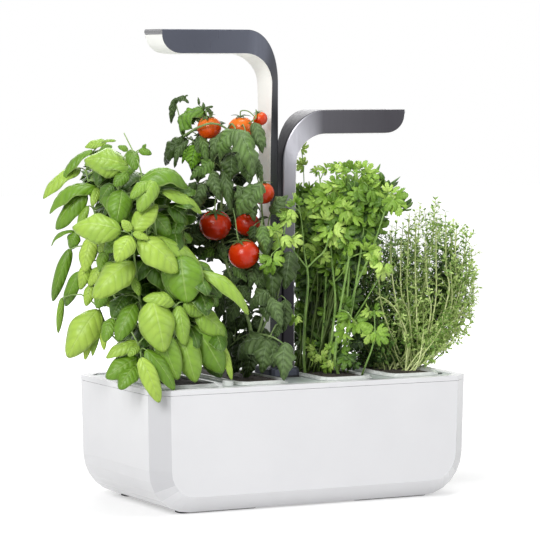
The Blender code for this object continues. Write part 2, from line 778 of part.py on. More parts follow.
def lamp_stations(top):
    """Sections from the foot of a mast to its tip.

    Each holds the outer point, the inner point, both as (distance from the column's middle,
    height), and the half widths there.  The diffuser covers the inner side.
    """
    near = MAST_SPLIT / 2
    far = near + MAST_THICKNESS
    outer_z = top - OUTER_BEND_RISE
    inner_z = top - HEAD_HEIGHT - INNER_BEND_RISE
    narrow = MAST_OUTER_WIDTH / 2
    foot = outer_z - MAST_LENGTH
    stations = [((near, foot), (far, foot), narrow, MAST_INNER_WIDTH / 2)]
    for share in NECK_SHARES:
        z = inner_z - NECK_TAPER * (1 - share)
        wide = MAST_INNER_WIDTH + (NECK_INNER_WIDTH - MAST_INNER_WIDTH) * share * share
        stations.append(((near, z), (far, z), narrow, wide / 2))
    for step in range(1, BEND_STEPS + 1):
        share = step / BEND_STEPS
        turn = math.radians(90 * share)
        outer = (near + OUTER_BEND_REACH * (1 - math.cos(turn)), outer_z + OUTER_BEND_RISE * math.sin(turn))
        inner = (far + INNER_BEND_REACH * (1 - math.cos(turn)), inner_z + INNER_BEND_RISE * math.sin(turn))
        blend = smooth_share(share)
        width = MAST_OUTER_WIDTH + (HEAD_DEPTH - MAST_OUTER_WIDTH) * blend
        wide = NECK_INNER_WIDTH + (HEAD_DEPTH - NECK_INNER_WIDTH) * blend
        stations.append((outer, inner, width / 2, wide / 2))
    end = LAMP_REACH - TIP_PLATE - GAP
    for step in range(TIP_STEPS + 1):
        turn = math.radians(90 * step / TIP_STEPS)
        x = end - TIP_LENGTH * (1 - math.sin(turn))
        z = top - HEAD_HEIGHT + (HEAD_HEIGHT - TIP_HEIGHT) * (1 - math.cos(turn))
        stations.append(((x, top), (x, z), HEAD_DEPTH / 2, HEAD_DEPTH / 2))
    return stations


def section_point(station, side, depth, half_width_cut, sign):
    """A point at a depth from the inner side, inside the section by a cut at its flank."""
    outer, inner, narrow, wide = station
    thickness = math.hypot(outer[0] - inner[0], outer[1] - inner[1])
    share = depth / thickness
    x = inner[0] + (outer[0] - inner[0]) * share
    z = inner[1] + (outer[1] - inner[1]) * share
    half = wide + (narrow - wide) * share - half_width_cut
    return (side * x, COLUMN_Y + sign * half, z)


def section_depth(station):
    outer, inner = station[0], station[1]
    return math.hypot(outer[0] - inner[0], outer[1] - inner[1])


def lamp_shell(name, side, stations):
    """The dark channel of mast and head, open towards the diffuser, with vents in the head."""
    rings = []
    for station in stations:
        full = section_depth(station)
        inside = full - SHELL_WALL
        rings.append([
            section_point(station, side, 0, 0, -1),
            section_point(station, side, full, 0, -1),
            section_point(station, side, full, 0, 1),
            section_point(station, side, 0, 0, 1),
            section_point(station, side, 0, SHELL_WALL, 1),
            section_point(station, side, inside, SHELL_WALL, 1),
            section_point(station, side, inside, SHELL_WALL, -1),
            section_point(station, side, 0, SHELL_WALL, -1),
        ])
    shell = add_mesh(f"lamp_shell_{name}", loft(rings), lamp_metal(), smooth=True)
    top = stations[-1][0][1]
    slots = operand_collection(f"vent_slots_{name}")
    first = LAMP_REACH - TIP_LENGTH - VENT_PITCH * (VENT_COUNT - 1)
    half_y = VENT_LENGTH / 2
    for i in range(VENT_COUNT):
        x = side * (first + VENT_PITCH * i)
        bm = box_mesh((x - VENT_WIDTH / 2, COLUMN_Y - half_y, top - SHELL_WALL * 3 / 2),
                      (x + VENT_WIDTH / 2, COLUMN_Y + half_y, top + OVERRUN))
        link_guide(f"vent_slot_{name}_{i + 1}", bm, slots)
    boolean(shell, slots, "DIFFERENCE")


def lamp_inside(name, side, stations):
    """Diffuser, light board with its chips, flat lead, mast foot and end strip."""
    cut = SHELL_WALL + GAP

    def strip(piece, chosen, near_depth, far_depth, look, half_width=None):
        rings = []
        for station in chosen:
            full = section_depth(station)
            ring = []
            for measure, sign in ((near_depth, -1), (far_depth, -1), (far_depth, 1), (near_depth, 1)):
                depth = measure(full)
                x, y, z = section_point(station, side, depth, cut, sign)
                if half_width:
                    y = COLUMN_Y + sign * half_width
                ring.append((x, y, z))
            rings.append(ring)
        return add_mesh(f"{piece}_{name}", loft(rings), look, smooth=True)

    strip("diffuser", stations, lambda full: 0, lambda full: DIFFUSER_THICKNESS, diffuser_plastic())
    back = SHELL_WALL + GAP
    bend_end = len(NECK_SHARES) + BEND_STEPS
    strip("mast_lead", stations[:bend_end + 1], lambda full: full - back - LEAD_THICKNESS,
          lambda full: full - back, dark_plastic(), LEAD_WIDTH / 2)
    foot = stations[0]
    raised = tuple((point[0], point[1] + MAST_FOOT_HEIGHT) for point in foot[:2]) + foot[2:]
    strip("mast_foot", [foot, raised], lambda full: DIFFUSER_THICKNESS + GAP,
          lambda full: full - back - LEAD_THICKNESS - GAP, dark_plastic())
    top = stations[-1][0][1]
    start = stations[bend_end][0][0] + GAP
    end = LAMP_REACH - TIP_PLATE - TIP_LENGTH
    board_top = top - back
    low = (min(side * start, side * end), COLUMN_Y - BOARD_WIDTH / 2, board_top - BOARD_THICKNESS)
    high = (max(side * start, side * end), COLUMN_Y + BOARD_WIDTH / 2, board_top)
    board = box(f"light_board_{name}", low, high, board_green())
    pitch = (end - start) / CHIP_COLUMNS
    chips = operand_collection(f"chips_{name}")
    for i in range(CHIP_COLUMNS):
        for row in (-1, 1):
            x = side * (start + pitch * (i + 1 / 2))
            y = COLUMN_Y + row * CHIP_ROW_SPACING / 2
            bm = box_mesh((x - CHIP_SIZE / 2, y - CHIP_SIZE / 2, low[2] - CHIP_HEIGHT),
                          (x + CHIP_SIZE / 2, y + CHIP_SIZE / 2, low[2] + BOARD_THICKNESS / 2))
            link_guide(f"chip_{name}_{i + 1}_{'front' if row < 0 else 'rear'}", bm, chips)
    boolean(board, chips, "UNION")
    strip_low = side * (LAMP_REACH - TIP_PLATE)
    strip_high = side * LAMP_REACH
    box(f"end_strip_{name}", (min(strip_low, strip_high), COLUMN_Y - HEAD_DEPTH / 2, top - TIP_HEIGHT),
        (max(strip_low, strip_high), COLUMN_Y + HEAD_DEPTH / 2, top), lamp_metal())


def lamps():
    for name, side, top in (("left", -1, LEFT_LAMP_TOP), ("right", 1, RIGHT_LAMP_TOP)):
        stations = lamp_stations(top)
        lamp_shell(name, side, stations)
        lamp_inside(name, side, stations)


def level_float():
    """A float on a stem: its cap rests on the tray when the water is low."""
    cap_low = TRAY_TOP + GAP
    cap_top = cap_low + FLOAT_CAP_HEIGHT
    stem_low = cap_low - FLOAT_STEM_LENGTH
    float_top = stem_low + FLOAT_HEIGHT
    bevel = FLOAT_RADIUS / 4
    profile = (
        (0, cap_top), (FLOAT_CAP_RADIUS, cap_top), (FLOAT_CAP_RADIUS, cap_low),
        (FLOAT_STEM_RADIUS, cap_low), (FLOAT_STEM_RADIUS, float_top),
        (FLOAT_RADIUS - bevel, float_top), (FLOAT_RADIUS, float_top - bevel),
        (FLOAT_RADIUS, stem_low + bevel), (FLOAT_RADIUS - bevel, stem_low), (0, stem_low),
    )
    turned("level_float", profile, (FLOAT_X, FLOAT_Y, 0), cup_plastic())
    inner = FLOAT_STEM_RADIUS + SLIDE_CLEARANCE
    guide_top = TRAY_BOTTOM - GAP
    guide_low = guide_top - FLOAT_GUIDE_LENGTH
    rings = [
        round_outline(FLOAT_X, FLOAT_Y, inner, guide_low, SMALL_SIDES),
        round_outline(FLOAT_X, FLOAT_Y, inner, guide_top, SMALL_SIDES),
        round_outline(FLOAT_X, FLOAT_Y, FLOAT_GUIDE_RADIUS, guide_top, SMALL_SIDES),
        round_outline(FLOAT_X, FLOAT_Y, FLOAT_GUIDE_RADIUS, guide_low, SMALL_SIDES),
    ]
    add_mesh("float_guide", loft(rings, closed=True), tray_plastic(), smooth=True)


def open_box(name, low, high, wall, look):
    """A rectangular tub, open at the top."""
    cx = (low[0] + high[0]) / 2
    cy = (low[1] + high[1]) / 2
    half_x = (high[0] - low[0]) / 2
    half_y = (high[1] - low[1]) / 2

    def ring(inset, z):
        hx = half_x - inset
        hy = half_y - inset
        return [(cx + hx, cy - hy, z), (cx + hx, cy + hy, z), (cx - hx, cy + hy, z), (cx - hx, cy - hy, z)]

    rings = [ring(wall, low[2] + wall), ring(wall, high[2]), ring(0, high[2]), ring(0, low[2])]
    return add_mesh(name, loft(rings), look)


def electrics():
    """Driver housing under the tray, power inlet in the rear wall and the control button."""
    top = TRAY_BOTTOM - GAP
    rear = TANK_DEPTH / 2 - RIM_WIDTH - RIM_LEDGE - GAP
    low = (-HOUSING_WIDTH / 2, HOUSING_DEPTH_START, top - HOUSING_HEIGHT)
    open_box("driver_housing", low, (HOUSING_WIDTH / 2, rear, top), HOUSING_WALL, dark_plastic())
    board_low = low[2] + HOUSING_WALL + GAP
    board_y = (HOUSING_DEPTH_START + rear) / 2
    board_half = (rear - HOUSING_DEPTH_START) / 2 - HOUSING_WALL - DRIVER_BOARD_MARGIN
    board = box("driver_board", (-DRIVER_BOARD_WIDTH / 2, board_y - board_half, board_low),
                (DRIVER_BOARD_WIDTH / 2, board_y + board_half, board_low + BOARD_THICKNESS), board_green())
    coil = box("coil_block", (-COIL_SIZE / 2, board_y - COIL_SIZE / 2, board_low + BOARD_THICKNESS / 2),
               (COIL_SIZE / 2, board_y + COIL_SIZE / 2, board_low + BOARD_THICKNESS + COIL_HEIGHT),
               None, "cutters")
    boolean(board, coil, "UNION")
    face = TANK_DEPTH / 2 - draft_at(TANK_TOP - INLET_DROP)
    plate_low = TANK_TOP - INLET_DROP
    inlet = box("power_inlet", (-INLET_WIDTH / 2, face - INLET_PLATE, plate_low),
                (INLET_WIDTH / 2, face, TANK_TOP - GAP), dark_plastic())
    body_low = plate_low + HOUSING_WALL
    body = box("inlet_body", (-INLET_BODY_WIDTH / 2, rear + GAP, body_low),
               (INLET_BODY_WIDTH / 2, face - INLET_PLATE / 2, body_low + INLET_BODY_HEIGHT),
               None, "cutters")
    boolean(inlet, body, "UNION")
    mid = body_low + INLET_BODY_HEIGHT / 2
    socket = box("inlet_socket", (-SOCKET_WIDTH / 2, face - SOCKET_DEPTH, mid - SOCKET_HEIGHT / 2),
                 (SOCKET_WIDTH / 2, face + OVERRUN, mid + SOCKET_HEIGHT / 2), None, "cutters")
    boolean(inlet, socket, "DIFFERENCE")
    cap_top = TRAY_TOP + BUTTON_PROUD
    flange_top = TRAY_BOTTOM - GAP
    flange_low = flange_top - BUTTON_FLANGE_THICKNESS
    stem_low = flange_low - BUTTON_STEM_LENGTH
    profile = ((0, cap_top), (BUTTON_RADIUS, cap_top), (BUTTON_RADIUS, flange_top),
               (BUTTON_FLANGE_RADIUS, flange_top), (BUTTON_FLANGE_RADIUS, flange_low),
               (BUTTON_STEM_RADIUS, flange_low), (BUTTON_STEM_RADIUS, stem_low), (0, stem_low))
    turned("control_button", profile, (BUTTON_X, BUTTON_Y, 0), dark_plastic())
    half = SWITCH_WIDTH / 2
    open_box("button_switch", (BUTTON_X - half, BUTTON_Y - half, top - SWITCH_HEIGHT),
             (BUTTON_X + half, BUTTON_Y + half, top), SWITCH_WALL, dark_plastic())


def basil_border(y):
    """The line between the basil and the tomato, seen from above."""
    return -(CUP_INNER_X + CUP_OUTER_X) / 2 - y * BASIL_BORDER_SHARE


def thyme_border(y):
    """The line between the parsley and the thyme, seen from above."""
    return (CUP_INNER_X + CUP_OUTER_X) / 2 + COLLAR_MARGIN * 2 - y * THYME_BORDER_SHARE


def column_border(y, sign):
    """How far the tomato (-1) or the parsley (1) may reach towards the column."""
    half_x, half_y = well_half_sizes()
    reach = half_x + GAP + WELL_WALL
    front = COLUMN_Y - half_y - COLLAR_MARGIN
    rear = COLUMN_Y + half_y + COLLAR_MARGIN
    if y < front:
        return MAST_THICKNESS
    if y > rear:
        return 0.0
    return sign * reach


def allowed(plant, point):
    """Whether a plant may fill a point: in its own region, above its cup, clear of the tank."""
    x, y, z = point
    if abs(y) > TANK_DEPTH / 2 + PLANT_OVERHANG:
        return False
    low = {"basil": -TANK_WIDTH, "tomato": basil_border(y), "parsley": column_border(y, 1),
           "thyme": thyme_border(y)}[plant]
    high = {"basil": basil_border(y), "tomato": column_border(y, -1), "parsley": thyme_border(y),
            "thyme": TANK_WIDTH}[plant]
    if not low + REGION_MARGIN < x < high - REGION_MARGIN:
        return False
    over_x = abs(x) < TANK_WIDTH / 2 + PLANT_CLEARANCE
    over_y = abs(y) < TANK_DEPTH / 2 + PLANT_CLEARANCE
    lowest = RIM_TOP + PLANT_CLEARANCE * 2
    return z > lowest or not (over_x and over_y)


def stalk_body(name, points, radii, collection):
    """A tapering closed stalk along points."""
    rings = []
    for i, point in enumerate(points):
        before = points[max(i - 1, 0)]
        after = points[min(i + 1, len(points) - 1)]
        along = (after - before).normalized()
        across = along.cross(Vector(SLANTED_SHARES)).normalized()
        up = across.cross(along)
        turns = [math.tau * k / STALK_SIDES for k in range(STALK_SIDES)]
        rings.append([point + (across * math.cos(t) + up * math.sin(t)) * radii[i] for t in turns])
    return link_guide(name, loft(rings), collection)


def leaf_rings(base, heading, pitch, droop, length, width, outline_shares):
    """Rings of a leaf: a lens section that follows a drooping midrib.  Angles in degrees."""
    rings = []
    place = Vector(base)
    done = 0.0
    turn = math.radians(heading)
    side = Vector((-math.sin(turn), math.cos(turn), 0))
    for share, wide in outline_shares:
        angle = math.radians(pitch - droop * share)
        along = Vector((math.cos(turn) * math.cos(angle), math.sin(turn) * math.cos(angle),
                        math.sin(angle)))
        place = place + along * length * (share - done)
        done = share
        up = along.cross(side)
        half = width / 2 * wide
        thick = LEAF_THICKNESS / 2 * min(1.0, LEAF_THIN_SHARE + wide)
        edge_lift = up * half * LEAF_CUP_SHARE
        rings.append([place - side * half + edge_lift, place - up * thick,
                      place + side * half + edge_lift, place + up * thick])
    return rings


def add_leaf(plant, collection, rings):
    """Add a leaf unless part of it would leave the plant's own space."""
    for ring in rings[1:]:
        for point in ring:
            if not allowed(plant, point):
                return False
    link_guide(f"{plant}_leaf_{len(collection.objects) + 1}", loft(rings), collection)
    return True


def crown(name, x, look):
    """The low dome at the foot of a plant, from which its stalks rise."""
    rings = []
    for wide, high in CROWN_SHARES:
        rings.append(round_outline(x, 0, CROWN_RADIUS * wide, PLANT_BASE + CROWN_HEIGHT * high, SMALL_SIDES))
    return add_mesh(name, loft(rings), look)


def bent(start, end, bow, steps):
    """Points of a stalk that leaves upright and leans over to its end."""
    points = []
    for i in range(steps + 1):
        share = i / steps
        level = start.lerp(end, share)
        level.z = start.z + (end.z - start.z) * (share ** (1 - bow))
        points.append(level)
    return points


def taper(radius, steps, tip_share):
    return [radius * (1 - (1 - tip_share) * i / steps) for i in range(steps + 1)]


def along_stalk(points, share):
    """The point at a share of a stalk's steps."""
    at = share * (len(points) - 1)
    index = min(int(at), len(points) - 2)
    return points[index].lerp(points[index + 1], at - index)


def fruit_places():
    """Centre and radius of each tomato."""
    places = []
    for sx, sy, sz, size in TOMATO_FRUIT_SHARES:
        centre = Vector((sx * TOMATO_SPREAD - CUP_INNER_X, sy * TOMATO_SPREAD,
                         PLANT_BASE + sz * TOMATO_HEIGHT))
        places.append((centre, FRUIT_RADIUS * size))
    return places


def basil():
    """Upright stalks with pairs of broad drooping leaves, each pair turned by a quarter."""
    x = -CUP_OUTER_X
    leaves = operand_collection("basil_leaves")
    plant = crown("basil_plant", x, material("basil_green", (0.20, 0.42, 0.05), 0.4))
    foot = Vector((x, 0, PLANT_BASE + STALK_SINK))
    radii = taper(BASIL_STALK_RADIUS, BASIL_STEPS, TIP_SHARE)
    for n, (sx, sy, sz) in enumerate(BASIL_STALK_SHARES):
        end = Vector((x + sx * BASIL_SPREAD, sy * BASIL_SPREAD, PLANT_BASE + sz * BASIL_HEIGHT))
        points = bent(foot, end, BASIL_BOW_SHARE, BASIL_STEPS)
        stalk_body(f"basil_stalk_{n + 1}", points, radii, leaves)
        for level, (share, size) in enumerate(BASIL_WHORL_SHARES):
            for turn in range(2):
                base = along_stalk(points, share - PAIR_STEP_SHARE * turn)
                heading = BASIL_FIRST_TURN * n + QUARTER_TURN * level + 2 * QUARTER_TURN * turn
                rings = leaf_rings(base, heading, BASIL_PITCH + BASIL_PITCH_STEP * level, BASIL_DROOP,
                                   BASIL_LEAF_LENGTH * size, BASIL_LEAF_WIDTH * size, BROAD_LEAF_SHARES)
                add_leaf("basil", leaves, rings)
    sx, sy, sz = BASIL_BRANCH_SHARES
    end = Vector((x + sx * BASIL_SPREAD, sy * BASIL_SPREAD, PLANT_BASE + sz * BASIL_HEIGHT))
    branch = bent(foot, end, BASIL_BOW_SHARE, BASIL_STEPS)
    stalk_body("basil_branch", branch, radii, leaves)
    base = along_stalk(branch, 1 - PAIR_STEP_SHARE)
    hanging = leaf_rings(base, HANGING_HEADING, HANGING_PITCH, HANGING_DROOP,
                         BASIL_HANGING_LENGTH, BASIL_LEAF_WIDTH, BROAD_LEAF_SHARES)
    add_leaf("basil", leaves, hanging)
    boolean(plant, leaves, "UNION", "MANIFOLD")


def tomato():
    """Stems with drooping three-part leaves, and fruits on trusses."""
    x = -CUP_INNER_X
    leaves = operand_collection("tomato_leaves")
    plant = crown("tomato_vine", x, material("tomato_green", (0.08, 0.20, 0.07), 0.55))
    foot = Vector((x, 0, PLANT_BASE + STALK_SINK))
    radii = taper(TOMATO_STALK_RADIUS, TOMATO_STEPS, TIP_SHARE)
    stems = []
    for n, (sx, sy, sz) in enumerate(TOMATO_STALK_SHARES):
        end = Vector((x + sx * TOMATO_SPREAD, sy * TOMATO_SPREAD, PLANT_BASE + sz * TOMATO_HEIGHT))
        points = bent(foot, end, TOMATO_BOW_SHARE, TOMATO_STEPS)
        stems.append(points)
        stalk_body(f"tomato_stem_{n + 1}", points, radii, leaves)
    fruits = fruit_places()
    for n, (centre, radius) in enumerate(fruits):
        tomato_fruit(n + 1, centre, radius)
        others = [ball for i, ball in enumerate(fruits) if i != n]
        path = truss_path(stems, centre, radius, others)
        stalk_body(f"truss_{n + 1}", path, [TRUSS_RADIUS] * len(path), leaves)
    for n, points in enumerate(stems):
        for level, share in enumerate(TOMATO_LEAF_LEVELS):
            base = along_stalk(points, share)
            for turn in range(2):
                heading = TOMATO_FIRST_TURN * (n + 1) + GOLDEN_TURN * level + 2 * QUARTER_TURN * turn
                tomato_leaf(leaves, base, heading, fruits, 1 - TOMATO_SHRINK_SHARE * level)
    boolean(plant, leaves, "UNION", "MANIFOLD")


def truss_path(stems, centre, radius, others):
    """The shortest way from a stem to the top of a fruit that clears the other fruits."""
    end = centre + Vector((0, 0, radius + GAP))
    over = end + Vector((0, 0, radius / 2))
    ways = []
    for stem in stems:
        for step in range(PATH_TRIES):
            start = along_stalk(stem, step / PATH_TRIES)
            way = [start, start.lerp(over, TRUSS_BEND_SHARE) + Vector((0, 0, radius / 3)), over, end]
            if path_clears(way, others) and path_clears(way[:-1], [(centre, radius)]):
                ways.append(way)
    return min(ways, key=lambda way: (way[0] - over).length)


def path_clears(way, balls):
    for start, after in zip(way, way[1:]):
        for step in range(PATH_SAMPLES + 1):
            point = start.lerp(after, step / PATH_SAMPLES)
            for centre, radius in balls:
                if (point - centre).length < radius + TRUSS_RADIUS + GAP:
                    return False
    return True


def clear_of_fruits(rings, fruits):
    """Whether a leaf's corners, and the middles between them, keep off every fruit."""
    for ring, after in zip(rings, rings[1:]):
        for point, next_point in zip(ring, after):
            for place in (point, (point + next_point) / 2, next_point):
                for centre, radius in fruits:
                    if (place - centre).length < radius + PLANT_CLEARANCE * 2:
                        return False
    return True


def tomato_leaf(leaves, base, heading, fruits, size):
    """Three leaflets on one leaf stalk, left out where a fruit hangs."""
    length = TOMATO_LEAF_LENGTH * size
    width = TOMATO_LEAF_WIDTH * size
    rings = leaf_rings(base, heading, TOMATO_PITCH, TOMATO_DROOP, length, width, NARROW_LEAF_SHARES)
    if not clear_of_fruits(rings, fruits):
        return
    if not add_leaf("tomato", leaves, rings):
        return
    middle = (rings[1][0] + rings[1][2]) / 2
    for sign in (-1, 1):
        side_rings = leaf_rings(middle, heading + sign * LEAFLET_TURN, LEAFLET_PITCH, LEAFLET_DROOP,
                                length * LEAFLET_SHARE, width * LEAFLET_SHARE, NARROW_LEAF_SHARES)
        if clear_of_fruits(side_rings, fruits):
            add_leaf("tomato", leaves, side_rings)


def tomato_fruit(number, centre, radius):
    bm = bmesh.new()
    bmesh.ops.create_uvsphere(bm, u_segments=FRUIT_SIDES, v_segments=FRUIT_ROWS, radius=radius)
    bmesh.ops.translate(bm, vec=centre, verts=bm.verts)
    add_mesh(f"tomato_fruit_{number}", bm, material("tomato_red", (0.75, 0.06, 0.02), 0.25), smooth=True)


def parsley():
    """Thin forked stalks that fan out from the crown and carry three-lobed leaves."""
    x = CUP_INNER_X
    leaves = operand_collection("parsley_leaves")
    plant = crown("parsley_plant", x, material("parsley_green", (0.16, 0.40, 0.05), 0.5))
    lean = PARSLEY_LEAN_SHARE * PARSLEY_SPREAD
    ring = CROWN_RADIUS * PARSLEY_FOOT_SHARE
    radii = taper(PARSLEY_STALK_RADIUS, PARSLEY_STEPS, PARSLEY_TIP_SHARE)
    for n in range(PARSLEY_STALKS):
        share = (n + 1 / 2) / PARSLEY_STALKS
        heading = GOLDEN_TURN * n + PARSLEY_FIRST_TURN
        turn = math.radians(heading)
        out = PARSLEY_SPREAD * math.sqrt(share)
        height = PARSLEY_HEIGHT * (1 - PARSLEY_SHRINK_SHARE * share)
        end = Vector((x + lean + out * math.cos(turn), out * math.sin(turn) - lean / 2, PLANT_BASE + height))
        if not allowed("parsley", end):
            end = end.lerp(Vector((x + lean, -lean, end.z)), PARSLEY_PULL_SHARE)
        foot = Vector((x + ring * math.cos(turn), ring * math.sin(turn), PLANT_BASE + STALK_SINK))
        points = bent(foot, end, PARSLEY_BOW_SHARE, PARSLEY_STEPS)
        if not all(allowed("parsley", point) for point in points[1:]):
            continue
        stalk_body(f"parsley_stalk_{n + 1}", points, radii, leaves)
        for index, fans in ((PARSLEY_STEPS - 1, (-1, 1)), (PARSLEY_STEPS, (-1, 0, 1))):
            for fan in fans:
                back = PARSLEY_FAN_STEP_SHARE * (fan + PARSLEY_FAN_START_SHARE)
                base = points[index].lerp(points[index - 1], back)
                pitch = PARSLEY_PITCH + PARSLEY_FAN_PITCH * fan
                rings = leaf_rings(base, heading + fan * PARSLEY_FAN_TURN, pitch, PARSLEY_DROOP,
                                   PARSLEY_LEAF_LENGTH, PARSLEY_LEAF_WIDTH, NARROW_LEAF_SHARES)
                add_leaf("parsley", leaves, rings)
    boolean(plant, leaves, "UNION", "MANIFOLD")


def thyme():
    """Leafy twigs, swollen where their leaves sit, that spread from a woody foot into a ball."""
    x = CUP_OUTER_X
    twigs = operand_collection("thyme_twigs")
    plant = crown("thyme_plant", x, material("thyme_green", (0.22, 0.32, 0.10), 0.6))
    centre = Vector((x + THYME_SPREAD * THYME_LEAN_SHARE, 0, PLANT_BASE + THYME_HEIGHT * THYME_CENTRE_SHARE))
    rise = THYME_HEIGHT * (1 - THYME_CENTRE_SHARE)
    foot = Vector((x, 0, PLANT_BASE + STALK_SINK))
    radii = [THYME_STALK_RADIUS * share for share in THYME_TWIG_SHARES]
    inward = Vector((-max(radii), 0, 0))
    for n in range(THYME_TWIGS):
        level = 1 - THYME_BALL_SHARE * (n + 1 / 2) / THYME_TWIGS
        around = math.radians(GOLDEN_TURN * n)
        out = THYME_SPREAD * math.sqrt(1 - level * level)
        end = centre + Vector((out * math.cos(around), out * math.sin(around), rise * level))
        for _ in range(THYME_PULLS):
            if not allowed("thyme", end + inward * 2):
                end = end.lerp(centre, THYME_PULL_SHARE)
        points = bent(foot, end, THYME_BOW_SHARE, len(radii) - 1)
        if all(allowed("thyme", point + inward) for point in points[2:]):
            stalk_body(f"thyme_twig_{n + 1}", points, radii, twigs)
    boolean(plant, twigs, "UNION", "MANIFOLD")


def build():
    planter_tank()
    feet()
    growing_tray(rim_frame())
    for name, x in cup_places():
        growing_cup(name, x)
    mast_guide(mast_well())
    lamps()
    level_float()
    electrics()
    basil()
    tomato()
    parsley()
    thyme()


clear_scene()
COLLECTIONS = {"parts": new_collection(PART_NAME), "cutters": new_collection(CUTTER_NAME)}
build()
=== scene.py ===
"""Countertop hydroponic garden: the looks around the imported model.  Metres, +Z up, front towards -Y.

Each plant replaces its simplified solid with stalks and leaves.  The leaves that show at the
front are placed by the picture's pixels and a depth; the others fill the plant behind them.
"""
import math
import random

import bmesh
import bpy
from mathutils import Matrix, Vector, noise


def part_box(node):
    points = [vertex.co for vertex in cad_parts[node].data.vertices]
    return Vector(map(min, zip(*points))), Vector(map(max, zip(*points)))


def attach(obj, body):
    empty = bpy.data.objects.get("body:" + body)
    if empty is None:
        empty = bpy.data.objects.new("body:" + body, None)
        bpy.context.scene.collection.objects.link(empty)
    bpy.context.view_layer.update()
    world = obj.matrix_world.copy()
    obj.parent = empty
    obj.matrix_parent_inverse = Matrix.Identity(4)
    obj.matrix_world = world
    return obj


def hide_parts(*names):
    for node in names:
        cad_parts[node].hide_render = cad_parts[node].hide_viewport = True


MM = 0.001

# The picture's camera
PICTURE_SIZE = 540
FOCAL_PIXELS = 3000
SENSOR_MM = 36
CAMERA_AZIMUTH = math.radians(-27.0)
CAMERA_ELEVATION = math.radians(3.95)
CAMERA_DISTANCE = 2833 * MM
CAMERA_TARGET = Vector((-3.1, 0, 214.2)) * MM
CAMERA_BACK = Vector((math.sin(CAMERA_AZIMUTH) * math.cos(CAMERA_ELEVATION),
                      -math.cos(CAMERA_AZIMUTH) * math.cos(CAMERA_ELEVATION),
                      math.sin(CAMERA_ELEVATION)))
CAMERA_RIGHT = Vector((math.cos(CAMERA_AZIMUTH), math.sin(CAMERA_AZIMUTH), 0))
CAMERA_UP = CAMERA_BACK.cross(CAMERA_RIGHT)
CAMERA_PLACE = CAMERA_TARGET + CAMERA_BACK * CAMERA_DISTANCE
CLIP_RANGE = (0.1, 20)
UP = Vector((0, 0, 1))
WHITE = (1, 1, 1, 1)

CUPS = ("basil", "tomato", "parsley", "thyme")

# The lamps, as in the part: which side each stands on and how high its top is
LAMP_SIDES = {"left": (-1, 0.4402), "right": (1, 0.3651)}
COLUMN_Y = -0.008
MAST_NEAR = 0.0021
MAST_FAR = 0.0125
MAST_WIDTHS = (0.015, 0.022, 0.0306)
MAST_LENGTH = 0.287
NECK_TAPER = 0.130
NECK_STEPS = 8
LAMP_REACH = 0.1285
HEAD_SIZE = (0.037, 0.022)
OUTER_BEND = (0.0375, 0.050)
INNER_BEND = (0.0296, 0.029)
BEND_STEPS = 26
TIP_SIZE = (0.0195, 0.0048)
TIP_STEPS = 14
TIP_PLATE = 0.0015
SHELL_WALL = 0.0012
SHARP_ANGLE = math.radians(40)
EDGE_RADIUS = 0.0014
EDGE_LOOP = 0.0003
EDGE_STEPS = 3
LENS_GAP = 0.0002
LENS_EDGE = 0.0003
LENS_SEAT = 0.00005
LENS_BULGE = 0.0005
LENS_STEPS = 8
VENT_COUNT = 9
VENT_PITCH = 0.0065
VENT_SIZE = (0.0016, 0.0222)
VENT_DEPTH = SHELL_WALL * 3
VENT_ROUND_SHARE = 0.4
PLATE_ROUND_SHARE = 0.7
# How squarely a face looks to the front or the back where it counts as a lamp's flank and takes its painted
# tone
FLANK_LEAST = 0.6
# A painted reflection on the right lamp's flanks, and painted shade on the left lamp's mast flanks
# The flanks' painted second tone: places along a lamp (0 where its bend starts, 1 where its head does) and
# shares
PAINTED_REFLECTION_AND_SHADE_SHARES = {
    "left": ((-6.0, 1.0), (-0.5, 1.0), (0.1, 0.75), (0.6, 0.2), (1.0, 0.0)),
    "right": ((-2.3, 0.0), (-1.9, 0.16), (-1.3, 0.42), (-0.4, 0.54), (0.2, 0.62), (0.55, 0.95), (0.78, 0.60),
              (1.0, 0.12), (1.5, 0.05)),
}


def seen(u, v, y):
    """The point at a pixel of the picture, on the plane at a depth y in millimetres."""
    middle = PICTURE_SIZE / 2
    ray = (CAMERA_RIGHT * (u - middle) + CAMERA_UP * (middle - v)) / FOCAL_PIXELS - CAMERA_BACK
    return CAMERA_PLACE + ray * ((y * MM - CAMERA_PLACE.y) / ray.y)


def pixel_length(pixels):
    """The real length of a span of pixels near the middle of the object."""
    return pixels * CAMERA_DISTANCE / FOCAL_PIXELS


def smooth(share):
    """The share, kept within 0 and 1 and eased at both ends."""
    share = min(max(share, 0.0), 1.0)
    return share * share * (3 - 2 * share)


def level(chance, across, along):
    """A level step by chance, within ranges to the right and to the back."""
    return Vector((chance.uniform(*across), chance.uniform(*along), 0))


